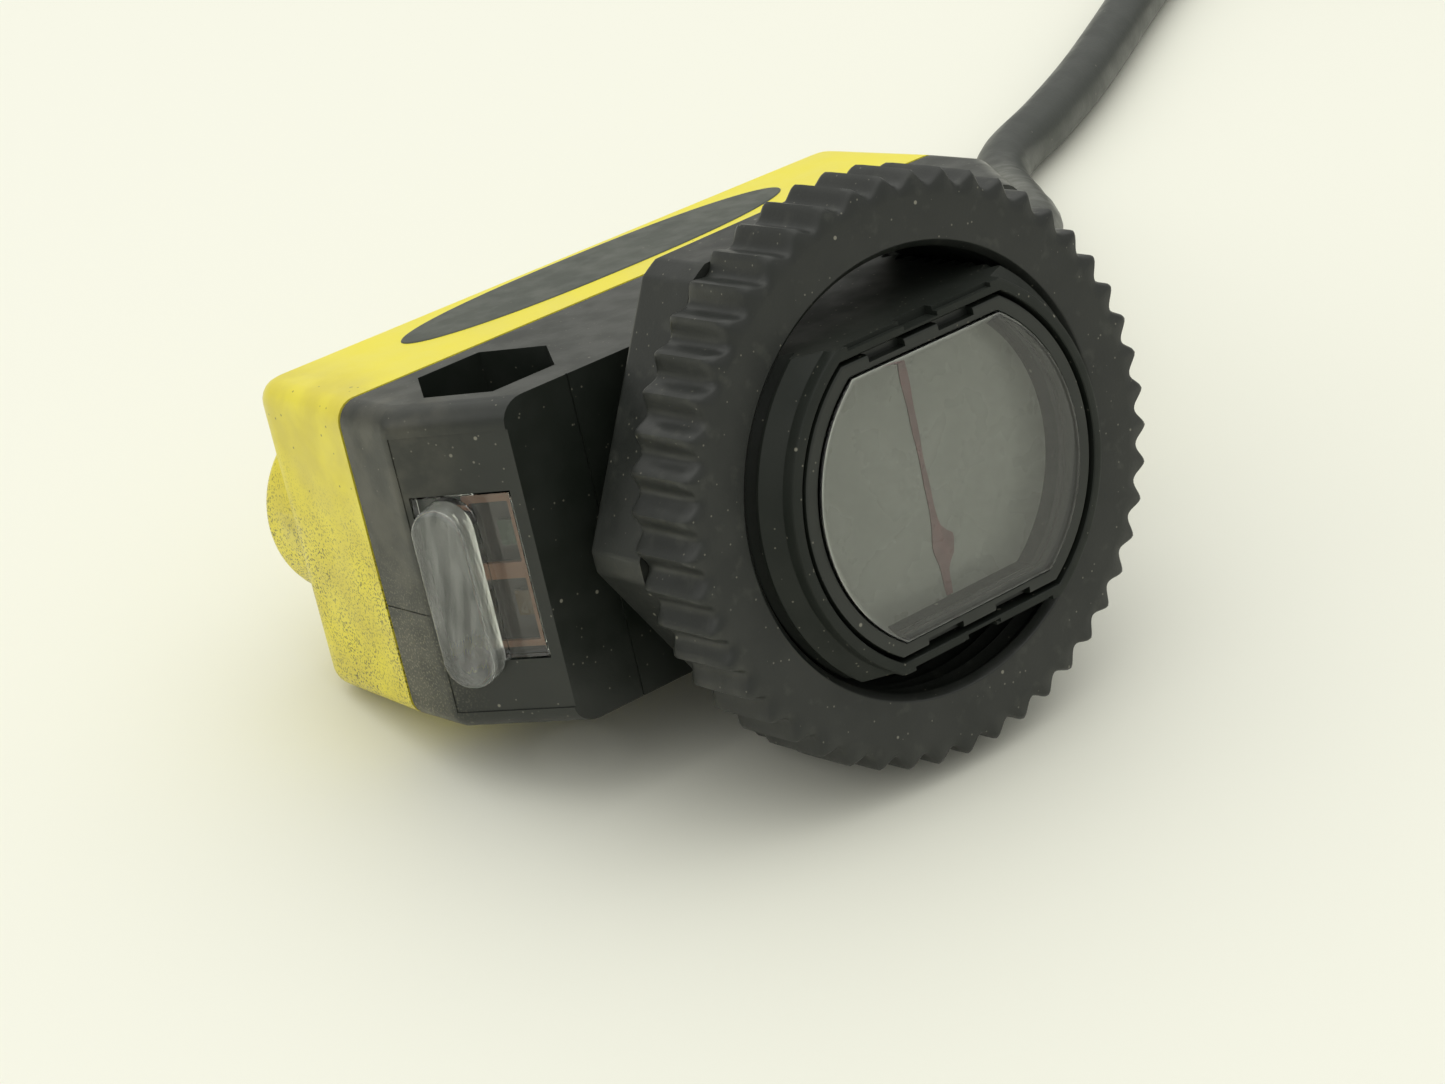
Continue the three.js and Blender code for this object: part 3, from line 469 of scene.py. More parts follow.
BLACK = front_black()
NUT_BLACK = nut_black()
NOSE_BLACK = dusty_black("nose_black", roughness=(0.5, 0.64), dust=0.35, specks=0.35, sheen=0.28).material
YELLOW = yellow_cover()
LABEL = label_grey()
CLEAR = clear_plastic("clear_lens", roughness=0.005, scratches=0.04)
FROSTED = frosted_bar()
FILM = film()
ADHESIVE = adhesive()
JACKET = rubber("cable_jacket", (0.026, 0.030, 0.025), (0.32, 0.44))
BOOT = rubber("boot_rubber", (0.022, 0.023, 0.020))
METAL = plated_metal()

# ------------------------------------------------------------------ cable

ROUTE = [
    (-0.0130, 0.0342, 0.0133), (-0.0131, 0.0368, 0.0132), (-0.0139, 0.0403, 0.0128),
    (-0.0161, 0.0437, 0.0119), (-0.0199, 0.0470, 0.0105), (-0.0239, 0.0501, 0.0088),
    (-0.0279, 0.0533, 0.0071), (-0.0319, 0.0564, 0.0054), (-0.0359, 0.0595, 0.0039),
    (-0.0398, 0.0627, 0.0030), (-0.0428, 0.0668, 0.0026), (-0.0459, 0.0742, 0.0026),
    (-0.0500, 0.0827, 0.0026), (-0.0547, 0.0912, 0.0026), (-0.0595, 0.0995, 0.0026),
    (-0.0639, 0.1076, 0.0026), (-0.0675, 0.1160, 0.0027), (-0.0698, 0.1248, 0.0033),
    (-0.0707, 0.1338, 0.0047), (-0.0705, 0.1428, 0.0067), (-0.0695, 0.1496, 0.0079),
    (-0.0686, 0.1541, 0.0081),
]


def make_cable():
    curve = bpy.data.curves.new("cable_jacket", "CURVE")
    curve.dimensions = "3D"
    curve.bevel_depth = CABLE_R * MM
    curve.bevel_resolution = 10
    curve.resolution_u = 12
    curve.use_fill_caps = True
    spline = curve.splines.new("BEZIER")
    spline.bezier_points.add(len(ROUTE) - 1)
    for i, (knot, place) in enumerate(zip(spline.bezier_points, ROUTE)):
        here = Vector(place)
        before = Vector(ROUTE[max(i - 1, 0)])
        after = Vector(ROUTE[min(i + 1, len(ROUTE) - 1)])
        heading = (after - before).normalized()
        knot.co = here
        knot.handle_left = here - heading * (here - before).length / 3
        knot.handle_right = here + heading * (after - here).length / 3
    curve.materials.append(JACKET)
    cable = bpy.data.objects.new("cable_jacket", curve)
    bpy.context.scene.collection.objects.link(cable)
    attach(cable, "sensor")
    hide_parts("cable")
    return cable


# ------------------------------------------------------------------ boot and connector


def make_boot():
    low, high = extent("cable_boot")
    start, end = low.y, high.y
    flange = start + 1.6
    profile = [(CABLE_R + 0.05, start), (EXIT_R + 1.25, start), (EXIT_R + 1.25, flange), (EXIT_R, flange),
               (EXIT_R, FAR_Y + 0.3), (EXIT_R + 0.95, FAR_Y + 0.3), (EXIT_R + 1.08, FAR_Y + 0.5),
               (EXIT_R + 1.08, FAR_Y + 1.3), (EXIT_R + 0.85, FAR_Y + 1.6)]
    rings = 3
    pitch = (end - FAR_Y - 2.2) / rings
    for k in range(rings):
        y = FAR_Y + 2 + k * pitch
        radius = EXIT_R + 0.6 - 0.75 * k / rings
        profile += [(radius - 0.5, y), (radius - 0.15, y + 0.1), (radius, y + 0.35),
                    (radius, y + pitch - 0.85), (radius - 0.15, y + pitch - 0.6),
                    (radius - 0.5, y + pitch - 0.5)]
    profile += [(CABLE_R + 0.8, end - 0.25), (CABLE_R + 0.55, end), (CABLE_R + 0.05, end)]
    boot = turned_y("strain_relief", profile, 48, closed=True, x=EXIT_X)
    return finish_piece(boot, BOOT, replaces=["cable_boot"])


PLUG = axes_of(JOINTS["connector_nut_turn"])


def make_connector():
    """The connector's pieces, along the x of its own axes."""
    grip_low, grip_high = extent("connector_grip", PLUG)
    start, end = grip_low.x, grip_high.x
    radius = grip_high.z
    profile = [(AXIS_R, start), (CABLE_R + 0.7, start), (CABLE_R + 0.9, start + 0.3),
               (CABLE_R + 1.4, start + 3)]
    for k in range(4):
        here = start + 3.6 + 1.6 * k
        size = CABLE_R + 2.2 + 0.5 * k
        profile += [(size - 0.5, here - 0.1), (size - 0.12, here + 0.3), (size, here + 0.5),
                    (size, here + 0.95), (size - 0.12, here + 1.15), (size - 0.5, here + 1.35)]
    profile += [(radius - 0.25, start + 10.3), (radius, start + 10.9), (radius, end - 0.6),
                (radius - 0.2, end - 0.15), (radius - 0.5, end), (AXIS_R, end)]
    grip = finish_piece(turned_x("connector_body", profile, 56), BOOT,
                        replaces=["connector_grip"], axes=PLUG)

    low, high = extent("connector_nut", PLUG)
    outer = high.z
    bore = extent("connector_insert", PLUG)[1].z + 0.25
    knurl_end = low.x + 8
    steps = 240

    def ridged(x, share):
        ring = []
        for k in range(steps):
            angle = 2 * math.pi * k / steps
            depth = 0.5 * (0.5 - 0.5 * math.cos(24 * angle))
            size = outer - depth * share - 0.5 * (1 - share)
            ring.append((x, size * math.cos(angle), size * math.sin(angle)))
        return ring

    def plain(size, x):
        return [(x, a, b) for a, b in circle(size, steps)]

    rings = [plain(bore, low.x), plain(outer - 1.0, low.x), ridged(low.x + 0.4, 0.1), ridged(low.x + 0.8, 1),
             ridged(knurl_end - 0.7, 1), ridged(knurl_end - 0.3, 0.1), plain(outer - 1.2, knurl_end)]
    thread_r = 5.9
    rings.append(plain(thread_r - 0.45, knurl_end + 0.05))
    turns = 9
    pitch = (high.x - 0.6 - knurl_end) / turns
    for k in range(turns):
        here = knurl_end + 0.1 + k * pitch
        rings += [plain(thread_r - 0.4, here), plain(thread_r, here + pitch * 0.42),
                  plain(thread_r, here + pitch * 0.56)]
    rings += [plain(thread_r - 0.5, high.x - 0.35), plain(thread_r - 0.7, high.x), plain(bore, high.x)]
    nut = finish_piece(stack("coupling_nut", rings, closed=True), METAL, "connector_nut",
                       ["connector_nut"], PLUG, angle=28)

    low, high = extent("connector_insert", PLUG)
    radius = high.z
    floor = high.x - 8.5
    cup = [(AXIS_R, low.x), (radius, low.x), (radius, high.x - 0.4), (radius - 0.12, high.x - 0.1),
           (radius - 0.3, high.x),
           (radius - 0.65, high.x), (radius - 0.8, high.x - 0.2), (radius - 0.8, floor), (AXIS_R, floor)]
    insert = turned_x("contact_insert", cup, 64)
    key = block("key", (floor - 0.5, high.x - 1.2), (-0.5, 0.5), (radius - 1.35, radius - 0.5))
    combine(insert, "UNION", key)
    insert = finish_piece(insert, plain_moulding("insert_black", (0.02, 0.021, 0.018), 0.45),
                          replaces=["connector_insert"], axes=PLUG)

    pins = []
    gold = plain_moulding("gold_contact", (0.83, 0.60, 0.22), 0.25, metal=1.0)
    for k in range(1, 6):
        node = f"connector_pin_{k}"
        low, high = extent(node, PLUG)
        middle = (low + high) / 2
        radius = (high.z - low.z) / 2
        tip = [(radius * math.cos(t), high.x - radius + radius * math.sin(t)) for t in (0, 0.4, 0.8, 1.2)]
        pin = turned_x(f"contact_pin_{k}", [(radius, low.x), *tip, (0.05, high.x)], 24,
                       y=middle.y, z=middle.z)
        pins.append(finish_piece(pin, gold, replaces=[node], axes=PLUG))
    return [grip, nut, insert, *pins]


cable = make_cable()
boot = make_boot()
plug_pieces = make_connector()

# ------------------------------------------------------------------ housing


def outline(inset=0.0, round_steps=6):
    """The housing seen from its labelled side, as (x, y) points, drawn in by inset all round."""
    rear, near, far = REAR_X + inset, NEAR_Y + inset, FAR_Y - inset
    front = FRONT_X + EDGE_R
    slant = SLANT_Y / (FRONT_X - RIM_X) * (front - RIM_X)
    size = max(2.4 - inset, 0.5)
    near_corner, far_corner = [], []
    for k in range(round_steps + 1):
        t = k / round_steps
        bulge = (1 - t) ** 2 * size
        run = t * t * size
        near_corner.append((rear + run, near + END_TAPER + bulge - 0.1 * t * t))
        far_corner.append((rear + run, far - END_TAPER - bulge + 0.1 * t * t))
    sides = [(SEAM_X, near), (RIM_X - 0.5, near), (RIM_X, near + 0.06), (RIM_X + 0.5, near + 0.29),
             (front, near + slant), (front, far - slant), (RIM_X + 0.5, far - 0.29), (RIM_X, far - 0.06),
             (RIM_X - 0.5, far), (SEAM_X, far)]
    return near_corner + sides + far_corner[::-1]


def drawn_in(points, distance):
    """A convex outline moved inwards by distance."""
    count = len(points)
    area = sum(points[i][0] * points[(i + 1) % count][1] - points[(i + 1) % count][0] * points[i][1]
               for i in range(count))
    hand = 1 if area > 0 else -1
    moved = []
    for i in range(count):
        a, b, c = (Vector(points[(i + k) % count]) for k in (-1, 0, 1))
        first = Vector((-(b - a).y, (b - a).x)).normalized() * hand
        second = Vector((-(c - b).y, (c - b).x)).normalized() * hand
        middle = (first + second).normalized()
        reach = distance / max(middle.dot(first), 0.4)
        moved.append(tuple(b + middle * reach))
    return moved


def envelope(name):
    """The whole housing, with its long edges rounded."""
    rings = []
    base = outline()
    for side in (-1, 1):
        turns = range(7) if side < 0 else range(6, -1, -1)
        for k in turns:
            angle = math.pi / 2 * k / 6
            inset = EDGE_R * (1 - math.sin(angle))
            z = side * (HALF_T - EDGE_R + EDGE_R * math.cos(angle))
            rings.append([(x, y, z) for x, y in drawn_in(base, inset)])
    return stack(name, rings)


def hollow(name):
    half = HALF_T - WALL
    return stack(name, [[(x, y, z) for x, y in outline(WALL)] for z in (-half, half)])


# the slanting indicator face: u runs along it from the square rim, v stands out of it
SLANT = Matrix.Translation((RIM_X, NEAR_Y, 0)) @ Matrix.Rotation(math.atan2(SLANT_Y, FRONT_X - RIM_X), 4, "Z")


def slant_block(name, u, depth, z):
    made = block(name, u, depth, z)
    made.data.transform(SLANT)
    return made


def slant_bar(name, u, levels, z):
    """A bar with round ends, from (inset, depth) levels."""
    middle, half = (u[0] + u[1]) / 2, (u[1] - u[0]) / 2
    rings = []
    for inset, depth in levels:
        ring = []
        for end, first in ((z[1] - half, 0), (z[0] + half, math.pi)):
            for k in range(17):
                angle = first + math.pi * k / 16
                reach = half - inset
                ring.append((middle + reach * math.cos(angle), depth, end + reach * math.sin(angle)))
        rings.append(ring)
    made = stack(name, rings)
    made.data.transform(SLANT)
    return made


def hexagon_cutter(name, x, y, z0, z1, across):
    radius = across / math.sqrt(3)
    corners = [math.pi / 2 + k * math.pi / 3 for k in range(6)]
    ring = [(x + radius * math.cos(angle), y + radius * math.sin(angle)) for angle in corners]
    return stack(name, [[(a, b, z) for a, b in ring] for z in (z0, z1)])


WINDOW_U, WINDOW_Z = (0.6, 8.3), (-6.6, 5.6)
BAR_U, BAR_Z = (0.9, 4.9), (-8.0, 5.2)
PANEL_RECESS = 0.12
FAR_OUT = 60
ALL_ALONG = (-FAR_OUT, FAR_OUT)


def make_front_housing():
    shell = envelope("front_shell")
    combine(shell, "INTERSECT", block("slab", (SEAM_X + SEAM_GAP / 2, FRONT_X), ALL_ALONG, ALL_ALONG))
    inner = combine(hollow("inner"), "INTERSECT",
                    block("room", (-FAR_OUT, FRONT_X - WALL), ALL_ALONG, ALL_ALONG))
    for side in (-1, 1):
        y = side * HOLE_Y
        column = turned_z("column", [(HOLE_R + 0.9, -HALF_T), (HOLE_R + 0.9, HALF_T)], x=HOLE_X, y=y)
        cup = turned_z("cup", [(HEX_ACROSS / 2 + 1.6, HALF_T - HEX_DEPTH - 1), (HEX_ACROSS / 2 + 1.6, HALF_T)],
                       x=HOLE_X, y=y)
        combine(inner, "DIFFERENCE", column, cup)
    combine(shell, "DIFFERENCE", inner)
    for side in (-1, 1):
        y = side * HOLE_Y
        combine(shell, "DIFFERENCE",
                turned_z("hole", [(HOLE_R, -HALF_T - 1), (HOLE_R, HALF_T + 1)], x=HOLE_X, y=y),
                hexagon_cutter("hex", HOLE_X, y, HALF_T - HEX_DEPTH, HALF_T + 1, HEX_ACROSS))
    panel = slant_block("panel", (0.15, 12), (-5, PANEL_RECESS), (-10.3, 9.9))
    window = slant_block("window", WINDOW_U, (-5, WALL + 1.6), WINDOW_Z)
    bar = slant_bar("bar", BAR_U, [(0, -5), (0, WALL + 1.6)], BAR_Z)
    combine(shell, "DIFFERENCE", panel, window, bar)
    for y in (-17.1, 17.1):
        line = block("line", (FRONT_X - 0.12, FRONT_X + 1), (y - 0.07, y + 0.07), (-HALF_T - 1, HALF_T + 1))
        combine(shell, "DIFFERENCE", line)
    parting = block("parting", (SEAM_X, FRONT_X + 1), (NEAR_Y - 1, NEAR_Y + 0.07), (-3.06, -2.94))
    combine(shell, "DIFFERENCE", parting)
    soften(shell, 0.16, 2, 34)
    bore = prism_x("bore", [(12.2, 9.7, FRONT_X - WALL - 1), (12.2, 9.7, 5)])
    combine(shell, "DIFFERENCE", bore)
    return finish_piece(shell, BLACK, replaces=["front_housing"])


# One turn of the thread: the height, as a share of its depth, at shares of its pitch.
THREAD_FORM = ((0, 0.04), (0.14, 0.16), (0.86, 0.40), (1, 0.46), (1, 0.60), (0.86, 0.66), (0.14, 0.90))
SOCKET_BREAK = 0.07


def make_nose():
    """The threaded nose, cut flat above and below, with its plain rim and notches."""
    thread_end, rim_end = 1.0, FRONT_HIGH.x
    profile = [(AXIS_R, FRONT_X - 0.4), (BARREL_R - THREAD_DEPTH, FRONT_X - 0.4)]
    turns = int((thread_end - FRONT_X) / THREAD_PITCH)
    for k in range(turns):
        x = thread_end - (turns - k) * THREAD_PITCH
        for radius, share in THREAD_FORM:
            profile.append((BARREL_R - THREAD_DEPTH * (1 - radius), x + share * THREAD_PITCH))
    profile += [(RIM_R + 0.45, thread_end), (RIM_R + 0.1, thread_end + 0.35), (RIM_R, thread_end + 0.5),
                (RIM_R, rim_end - 0.28), (RIM_R - 0.09, rim_end - 0.08), (RIM_R - 0.28, rim_end),
                (AXIS_R, rim_end)]
    nose = turned_x("nose", profile, 160)
    flats = block("flats", (FRONT_X - 1, rim_end + 1), (-20, 20), (-BARREL_FLAT, BARREL_FLAT))
    combine(nose, "INTERSECT", flats)
    mouth = SOCKET_R + SOCKET_BREAK, SOCKET_FLAT + SOCKET_BREAK
    socket = prism_x("socket", [(SOCKET_R, SOCKET_FLAT, -0.6), (SOCKET_R, SOCKET_FLAT, rim_end - SOCKET_BREAK),
                                (*mouth, rim_end), (*mouth, 5)])
    bore = prism_x("bore", [(12.2, 9.7, FRONT_X - WALL - 1), (12.2, 9.7, rim_end)])
    combine(nose, "DIFFERENCE", bore, socket)
    for side in (-1, 1):
        middle = side * 12.5
        low, high = sorted((middle - 1.6, middle + 1.6))
        notch = block("notch", (BEZEL_HIGH.x - 1.1, rim_end + 1), (-1.5, 1.5), (low, high))
        combine(nose, "DIFFERENCE", notch)
        groove = block("groove", (rim_end - 0.5, rim_end + 1), (-6.4, 6.4), sorted((side * 11.2, side * 12)))
        combine(nose, "DIFFERENCE", groove)
    return finish_piece(nose, NOSE_BLACK, angle=32)


def make_rear_cover():
    shell = envelope("rear_shell")
    combine(shell, "INTERSECT", block("slab", (-FAR_OUT, SEAM_X - SEAM_GAP / 2), ALL_ALONG, ALL_ALONG))
    top = REAR_LOW.x
    boss = turned_x("boss", [(AXIS_R, REAR_X + 1.5), (BOSS_R, REAR_X + 1.5), (BOSS_R, top + 1.0),
                             (BOSS_R - 0.08, top + 0.62), (BOSS_R - 0.3, top + 0.3),
                             (BOSS_R - 0.62, top + 0.08), (BOSS_R - 1, top), (AXIS_R, top)],
                    80, y=BOSS_Y)
    combine(shell, "UNION", boss)
    inner = combine(hollow("inner"), "INTERSECT",
                    block("room", (REAR_X + WALL, 0), ALL_ALONG, ALL_ALONG))
    combine(shell, "DIFFERENCE", inner)
    for side in (-1, 1):
        z = side * ADJUSTER_Z
        well = turned_x("well", [(WELL_R + 0.25, top - 1), (WELL_R + 0.25, top), (WELL_R, top + 0.3),
                                 (WELL_R, REAR_X + WALL + 1)], 56, y=BOSS_Y, z=z)
        combine(shell, "DIFFERENCE", well)
    entry = turned_y("entry", [(EXIT_R + 0.25, FAR_Y - 5), (EXIT_R + 0.25, FAR_Y + 2)], 56, x=EXIT_X)
    combine(shell, "DIFFERENCE", entry)
    soften(shell, 0.18, 2, 36)
    return finish_piece(shell, YELLOW, replaces=["rear_cover"])


def make_label():
    """A plain oval plate on the labelled side of the yellow cover."""
    half_long, half_wide = 17.6, 3.9
    middle_x, middle_y = REAR_X + 5.9, (NEAR_Y + FAR_Y) / 2
    rings = []
    for inset, z in ((0, HALF_T - 0.25), (0, HALF_T + 0.03), (0.05, HALF_T + 0.07), (0.15, HALF_T + 0.09)):
        ring = []
        for k in range(96):
            angle = 2 * math.pi * k / 96
            along = math.copysign(abs(math.cos(angle)) ** 0.85, math.cos(angle))
            ring.append((middle_x + (half_wide - inset) * math.sin(angle), middle_y + (half_long - inset) * along, z))
        rings.append(ring)
    return finish_piece(stack("blank_label", rings), LABEL)


def make_adjusters():
    white = plain_moulding("adjuster_white", (0.78, 0.76, 0.68), 0.38)
    for node, side in (("gain_adjuster", 1), ("mode_selector", -1)):
        low, high = extent(node)
        radius = high.y - BOSS_Y
        head = low.x
        z = side * ADJUSTER_Z
        profile = [(AXIS_R, head), (radius - 0.15, head), (radius, head + 0.15), (radius, head + 1.5),
                   (radius - 0.1, head + 1.6), (1.25, head + 1.6), (1.2, head + 1.7), (1.2, high.x),
                   (AXIS_R, high.x)]
        knob = turned_x(f"{node}_knob", profile, 48, y=BOSS_Y, z=z)
        slot = block("slot", (head - 1, head + 0.85), (BOSS_Y - 1.9, BOSS_Y + 1.9), (z - 0.38, z + 0.38))
        combine(knob, "DIFFERENCE", slot)
        if side < 0:
            arrow = block("arrow", (head - 1, head + 0.5), (BOSS_Y - 0.25, BOSS_Y + 0.25),
                          (z, z + radius - 0.4))
            combine(knob, "DIFFERENCE", arrow)
        soften(knob, 0.07, 2, 40)
        finish_piece(knob, white, node, [node])


# ------------------------------------------------------------------ mounting nut


def make_mounting_nut():
    tip, flange_back, hex_turned = NUT_HIGH.y, -6.3, 20.1
    root = tip - 0.95
    bore = BARREL_R + 0.35
    teeth, samples = 48, 12
    steps = teeth * samples

    def toothed(x, share, shrink=0.0):
        """The serrated rim; share is how deep the valleys are there."""
        ring = []
        for k in range(steps):
            angle = 2 * math.pi * k / steps
            phase = (angle * teeth / (2 * math.pi) - 0.5) % 1.0
            away = min(phase, 1 - phase) * 2
            valley = (0.5 - 0.5 * math.cos(math.pi * away)) ** 0.8
            size = tip - shrink - (tip - root) * valley * share
            ring.append((x, size * math.cos(angle), size * math.sin(angle)))
        return ring

    def hexed(x, shrink=0.0):
        ring = []
        apothem = 17.8 - shrink
        for k in range(steps):
            angle = 2 * math.pi * k / steps
            local = (angle - math.radians(31)) % (math.pi / 3)
            local = min(local, math.pi / 3 - local)
            size = min(apothem / math.cos(local), hex_turned - shrink)
            ring.append((x, size * math.cos(angle), size * math.sin(angle)))
        return ring

    def plain(size, x):
        return [(x, a, b) for a, b in circle(size, steps)]

    back = NUT_LOW.x
    rings = [plain(bore + 0.55, 0), plain(root - 0.9, 0), toothed(0, 0.9, 0.42), toothed(-0.12, 0.97, 0.18),
             toothed(-0.36, 1, 0.02), toothed(-1.2, 1), toothed(-3.4, 1), toothed(-5.2, 0.98),
             toothed(-5.9, 0.9, 0.03), toothed(-6.15, 0.8, 0.15), toothed(flange_back, 0.7, 0.45)]
    rings += [hexed(flange_back - 0.02), hexed(back + 0.5), hexed(back + 0.15, 0.12), hexed(back, 0.5)]
    rings += [plain(bore + 0.5, back), plain(bore, back + 0.5)]
    pitch = THREAD_PITCH
    x = back + 0.7
    while x + pitch < -0.6:
        rings += [plain(bore, x), plain(bore + 0.45, x + pitch * 0.45), plain(bore + 0.45, x + pitch * 0.55)]
        x += pitch
    rings += [plain(bore, -0.62), plain(bore + 0.05, -0.5), plain(bore + 0.42, -0.12)]
    nut = stack("ring_nut", rings, closed=True)
    return finish_piece(nut, NUT_BLACK, "mounting_nut", ["mounting_nut"], angle=46)


# ------------------------------------------------------------------ lens, bezel and films


LENS_THICK, LENS_GAP, BEZEL_BREAK = 0.7, 0.04, 0.06


def make_lens():
    back, front = LENS_HIGH.x - LENS_THICK, LENS_HIGH.x
    radius, flat = LENS_HIGH.y, LENS_HIGH.z
    sections = [(radius - 0.1, flat - 0.1, back), (radius, flat, back + 0.1), (radius, flat, front - 0.3),
                (radius - 0.1, flat - 0.1, front - 0.1), (radius - 0.35, flat - 0.35, front)]
    finish_piece(prism_x("window_lens", sections), CLEAR, replaces=["front_lens"], angle=50)

    lens_r, lens_flat = radius + LENS_GAP, flat + LENS_GAP
    radius, flat = BEZEL_HIGH.y, BEZEL_HIGH.z
    back, front = BEZEL_LOW.x, BEZEL_HIGH.x
    ring = prism_x("bezel", [(radius, flat, back), (radius, flat, front - 0.25),
                             (radius - 0.08, flat - 0.08, front - 0.07), (radius - 0.25, flat - 0.25, front)])
    hole = prism_x("hole", [(lens_r, lens_flat, back - 1), (lens_r, lens_flat, front - BEZEL_BREAK),
                            (lens_r + BEZEL_BREAK, lens_flat + BEZEL_BREAK, front),
                            (lens_r + BEZEL_BREAK, lens_flat + BEZEL_BREAK, front + 1)])
    combine(ring, "DIFFERENCE", hole)
    for side in (-1, 1):
        for y in (-3.2, 3.0):
            low, high = sorted((side * (flat - 0.55), side * (flat + 0.5)))
            gap = block("gap", (front - 0.7, front + 1), (y - 1.6, y + 1.6), (low, high))
            combine(ring, "DIFFERENCE", gap)
    finish_piece(ring, BLACK, replaces=["lens_bezel"])


def make_septum():
    """The line of adhesive between the two films, with a smear near its lower end."""
    low, high = extent("emitter_polarizer")
    front = high.x + 0.02
    top, bottom = high.z - 0.1, low.z + 0.1
    left, right = [], []
    for k in range(41):
        z = bottom + (top - bottom) * k / 40
        share = k / 40
        spread = 0.27 + 0.07 * math.sin(9 * share) + 0.03 * math.sin(31 * share)
        smear = math.exp(-((share - 0.19) / 0.055) ** 2)
        left.append((-spread - 0.3 * smear, z))
        right.append((spread + 1.5 * smear * (0.8 + 0.2 * math.sin(60 * share)), z))
    ring = left + right[::-1]
    line = stack("adhesive_line", [[(x, y, z) for y, z in ring] for x in (high.x - 0.1, front + 0.06)])
    finish_piece(line, ADHESIVE)


# ------------------------------------------------------------------ indicator window


def make_indicator():
    skin = slant_block("light_window", (WINDOW_U[0] + 0.12, WINDOW_U[1] - 0.12), (PANEL_RECESS, WALL - 0.4),
                       (WINDOW_Z[0] + 0.12, WINDOW_Z[1] - 0.12))
    pocket = slant_bar("pocket", BAR_U, [(0, -2), (0, 3)], BAR_Z)
    combine(skin, "DIFFERENCE", pocket)
    soften(skin, 0.08, 2, 40)
    finish_piece(skin, CLEAR, replaces=["indicator_lens"])
    levels = [(0.5, -1.7), (0.22, -1.6), (0.08, -1.42), (0.02, -1.2), (0.02, WALL - 0.4)]
    bar = slant_bar("light_bar", BAR_U, levels, BAR_Z)
    finish_piece(bar, FROSTED, angle=40)
    frame_plate = slant_block("reflector_frame", (3.9, 7.8), (WALL - 0.15, WALL + 0.25), (-6.1, 5.1))
    for sight in ((0.1, 4.5), (-5.6, -1.1)):
        combine(frame_plate, "DIFFERENCE", slant_block("sight", (4.4, 7.3), (0, 5), sight))
    soften(frame_plate, 0.06, 2, 40)
    copper = plain_moulding("frame_copper", (0.26, 0.13, 0.075), 0.4, 0.3)
    finish_piece(frame_plate, copper, replaces=["indicator_frame"])


make_front_housing()
make_nose()
make_rear_cover()
make_label()
make_adjusters()
make_mounting_nut()
make_lens()
make_septum()
make_indicator()

# ------------------------------------------------------------------ materials of the carried-over pieces


def dress(material, slot, *nodes):
    for node in nodes:
        piece = frame["nodes"][node]
        piece.data.materials.clear()
        piece.data.materials.append(material)


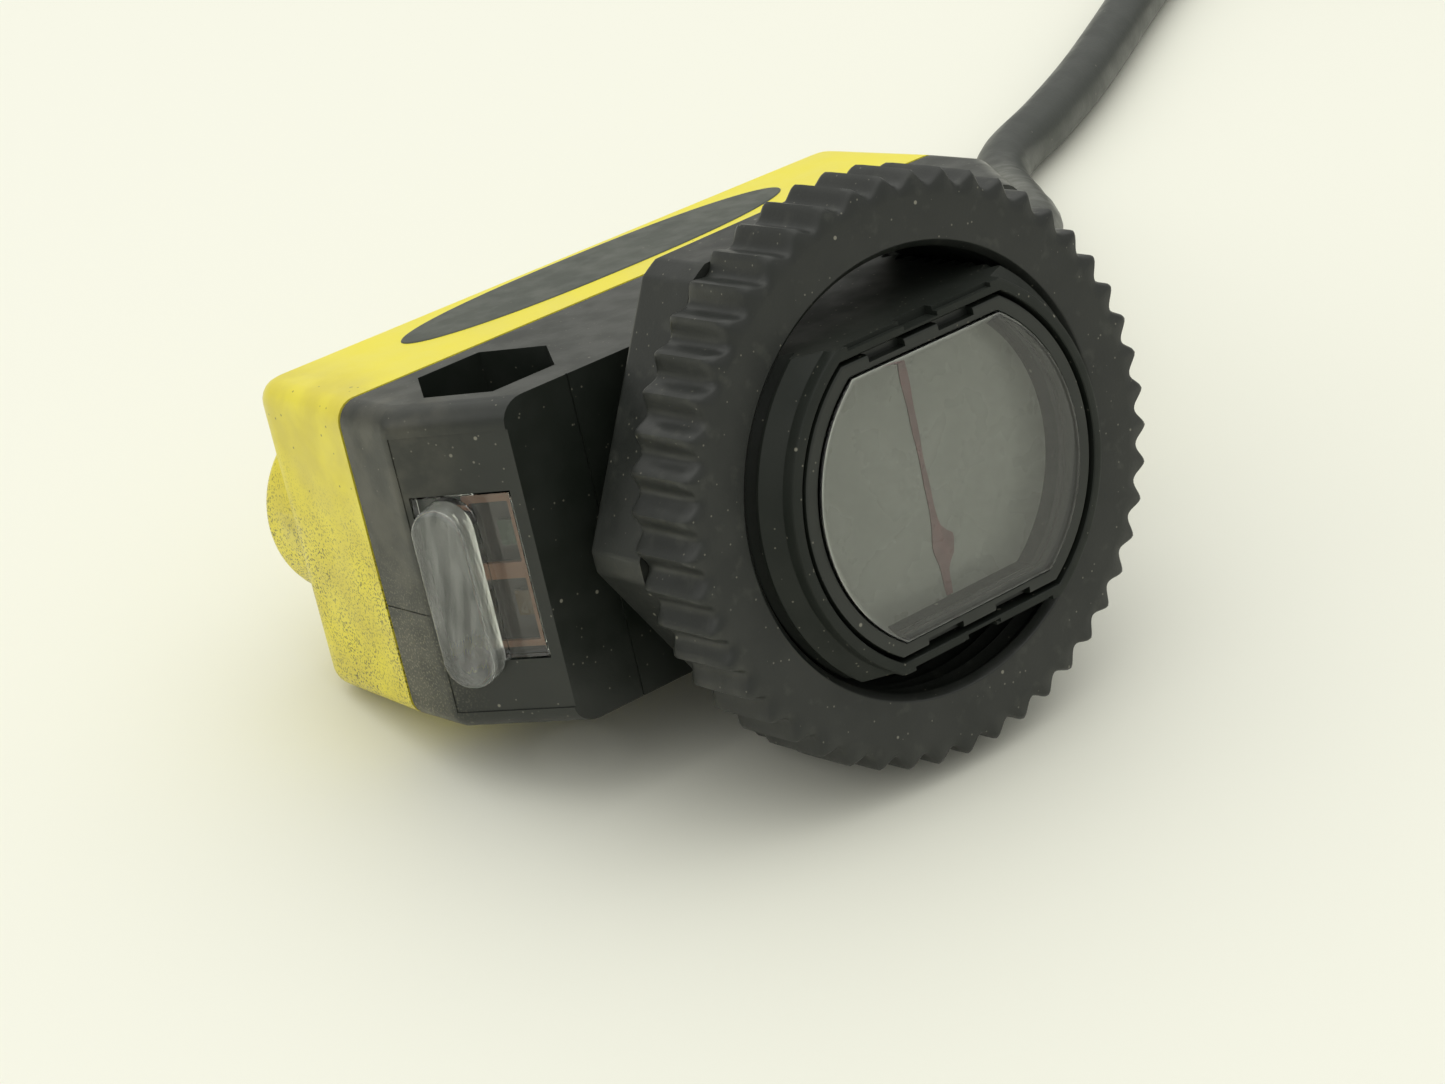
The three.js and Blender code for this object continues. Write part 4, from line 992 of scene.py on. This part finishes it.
def dress_inner_pieces():
    seal = rubber("seal_rubber", (0.018, 0.018, 0.017))
    dress(seal, "seal_rubber", "lens_seal", "gain_seal", "mode_seal")
    dress(rubber("housing_seal", (0.16, 0.055, 0.03)), "seal_rubber", "housing_seal")
    dress(FILM, "filter_film", "emitter_polarizer", "receiver_polarizer")
    dress(plain_moulding("optics_black", (0.016, 0.016, 0.015), 0.6), "housing_black", "optics_holder")
    dress(clear_plastic("inner_lens"), "clear_lens", "emitter_objective", "receiver_objective")
    board = plain_moulding("board_green", (0.025, 0.12, 0.045), 0.4)
    dress(board, "board_green", "optics_board", "main_board")
    dress(plain_moulding("diode_resin", (0.7, 0.6, 0.58), 0.2), "diode_resin", "emitter_led")
    dress(plain_moulding("flex_amber", (0.022, 0.014, 0.010), 0.35), "flex_amber", "indicator_flex")
    dress(plain_moulding("diode_green", (0.035, 0.06, 0.035), 0.25), "diode_green", "power_led")
    dress(plain_moulding("diode_amber", (0.09, 0.055, 0.02), 0.25), "diode_amber", "output_led")
    chips = ["controller_chip", "amplifier_chip", "regulator_chip", "output_driver", "surge_capacitor",
             "receiver_photodiode", "mode_switch"]
    dress(plain_moulding("chip_black", (0.014, 0.014, 0.015), 0.5), "chip_black", *chips)
    dress(METAL, "plated_metal", "board_link")
    dress(plain_moulding("trimmer_blue", (0.03, 0.11, 0.40), 0.35), "trimmer_blue", "gain_potentiometer")
    for colour, tint in (("brown", (0.16, 0.07, 0.03)), ("blue", (0.03, 0.10, 0.42)),
                         ("black", (0.012, 0.012, 0.012)), ("white", (0.78, 0.78, 0.74))):
        dress(plain_moulding(f"core_{colour}", tint, 0.35), f"core_{colour}", f"core_{colour}")


dress_inner_pieces()

# ------------------------------------------------------------------ floor and light


def make_floor():
    mesh = bpy.data.meshes.new("floor")
    reach = 3.0
    corners = [(-reach, -reach, 0), (reach, -reach, 0), (reach, reach, 0), (-reach, reach, 0)]
    mesh.from_pydata(corners, [], [(0, 1, 2, 3)])
    floor = add_object("floor", mesh)
    paper = bpy.data.materials.new("floor_white")
    paper.use_nodes = True
    base = paper.node_tree.nodes["Principled BSDF"]
    base.inputs["Base Color"].default_value = (0.86, 0.86, 0.77, 1)
    base.inputs["Roughness"].default_value = 0.55
    mesh.materials.append(paper)


def area_light(name, place, target, size, power, colour=(1, 1, 0.97)):
    lamp = bpy.data.lights.new(name, "AREA")
    lamp.shape = "RECTANGLE"
    lamp.size, lamp.size_y = size
    lamp.energy = power
    lamp.color = colour
    holder = bpy.data.objects.new(name, lamp)
    look = (Vector(target) - Vector(place)).to_track_quat("-Z", "Y").to_matrix().to_4x4()
    holder.matrix_world = Matrix.Translation(place) @ look
    bpy.context.scene.collection.objects.link(holder)


def make_light():
    world = bpy.data.worlds.new("studio")
    world.use_nodes = True
    nodes, links = world.node_tree.nodes, world.node_tree.links
    sky = nodes["Background"]
    sky.inputs["Color"].default_value = (1.0, 1.0, 0.95, 1)
    place = nodes.new("ShaderNodeTexCoord")
    split = nodes.new("ShaderNodeSeparateXYZ")
    height = nodes.new("ShaderNodeMapRange")
    height.inputs["To Min"].default_value = 0.34
    height.inputs["To Max"].default_value = 1.26
    links.new(place.outputs["Generated"], split.inputs["Vector"])
    links.new(split.outputs["Z"], height.inputs["Value"])
    links.new(height.outputs["Result"], sky.inputs["Strength"])
    bpy.context.scene.world = world
    middle = (0, 0, 0.015)
    area_light("overhead", (-0.15, 0.15, 0.75), middle, (1.1, 1.1), 1.3)
    area_light("left_fill", (-0.25, -0.65, 0.35), middle, (0.5, 0.4), 0.3)
    bpy.context.scene.view_settings.view_transform = "Standard"


make_floor()
make_light()

bpy.context.view_layer.update()
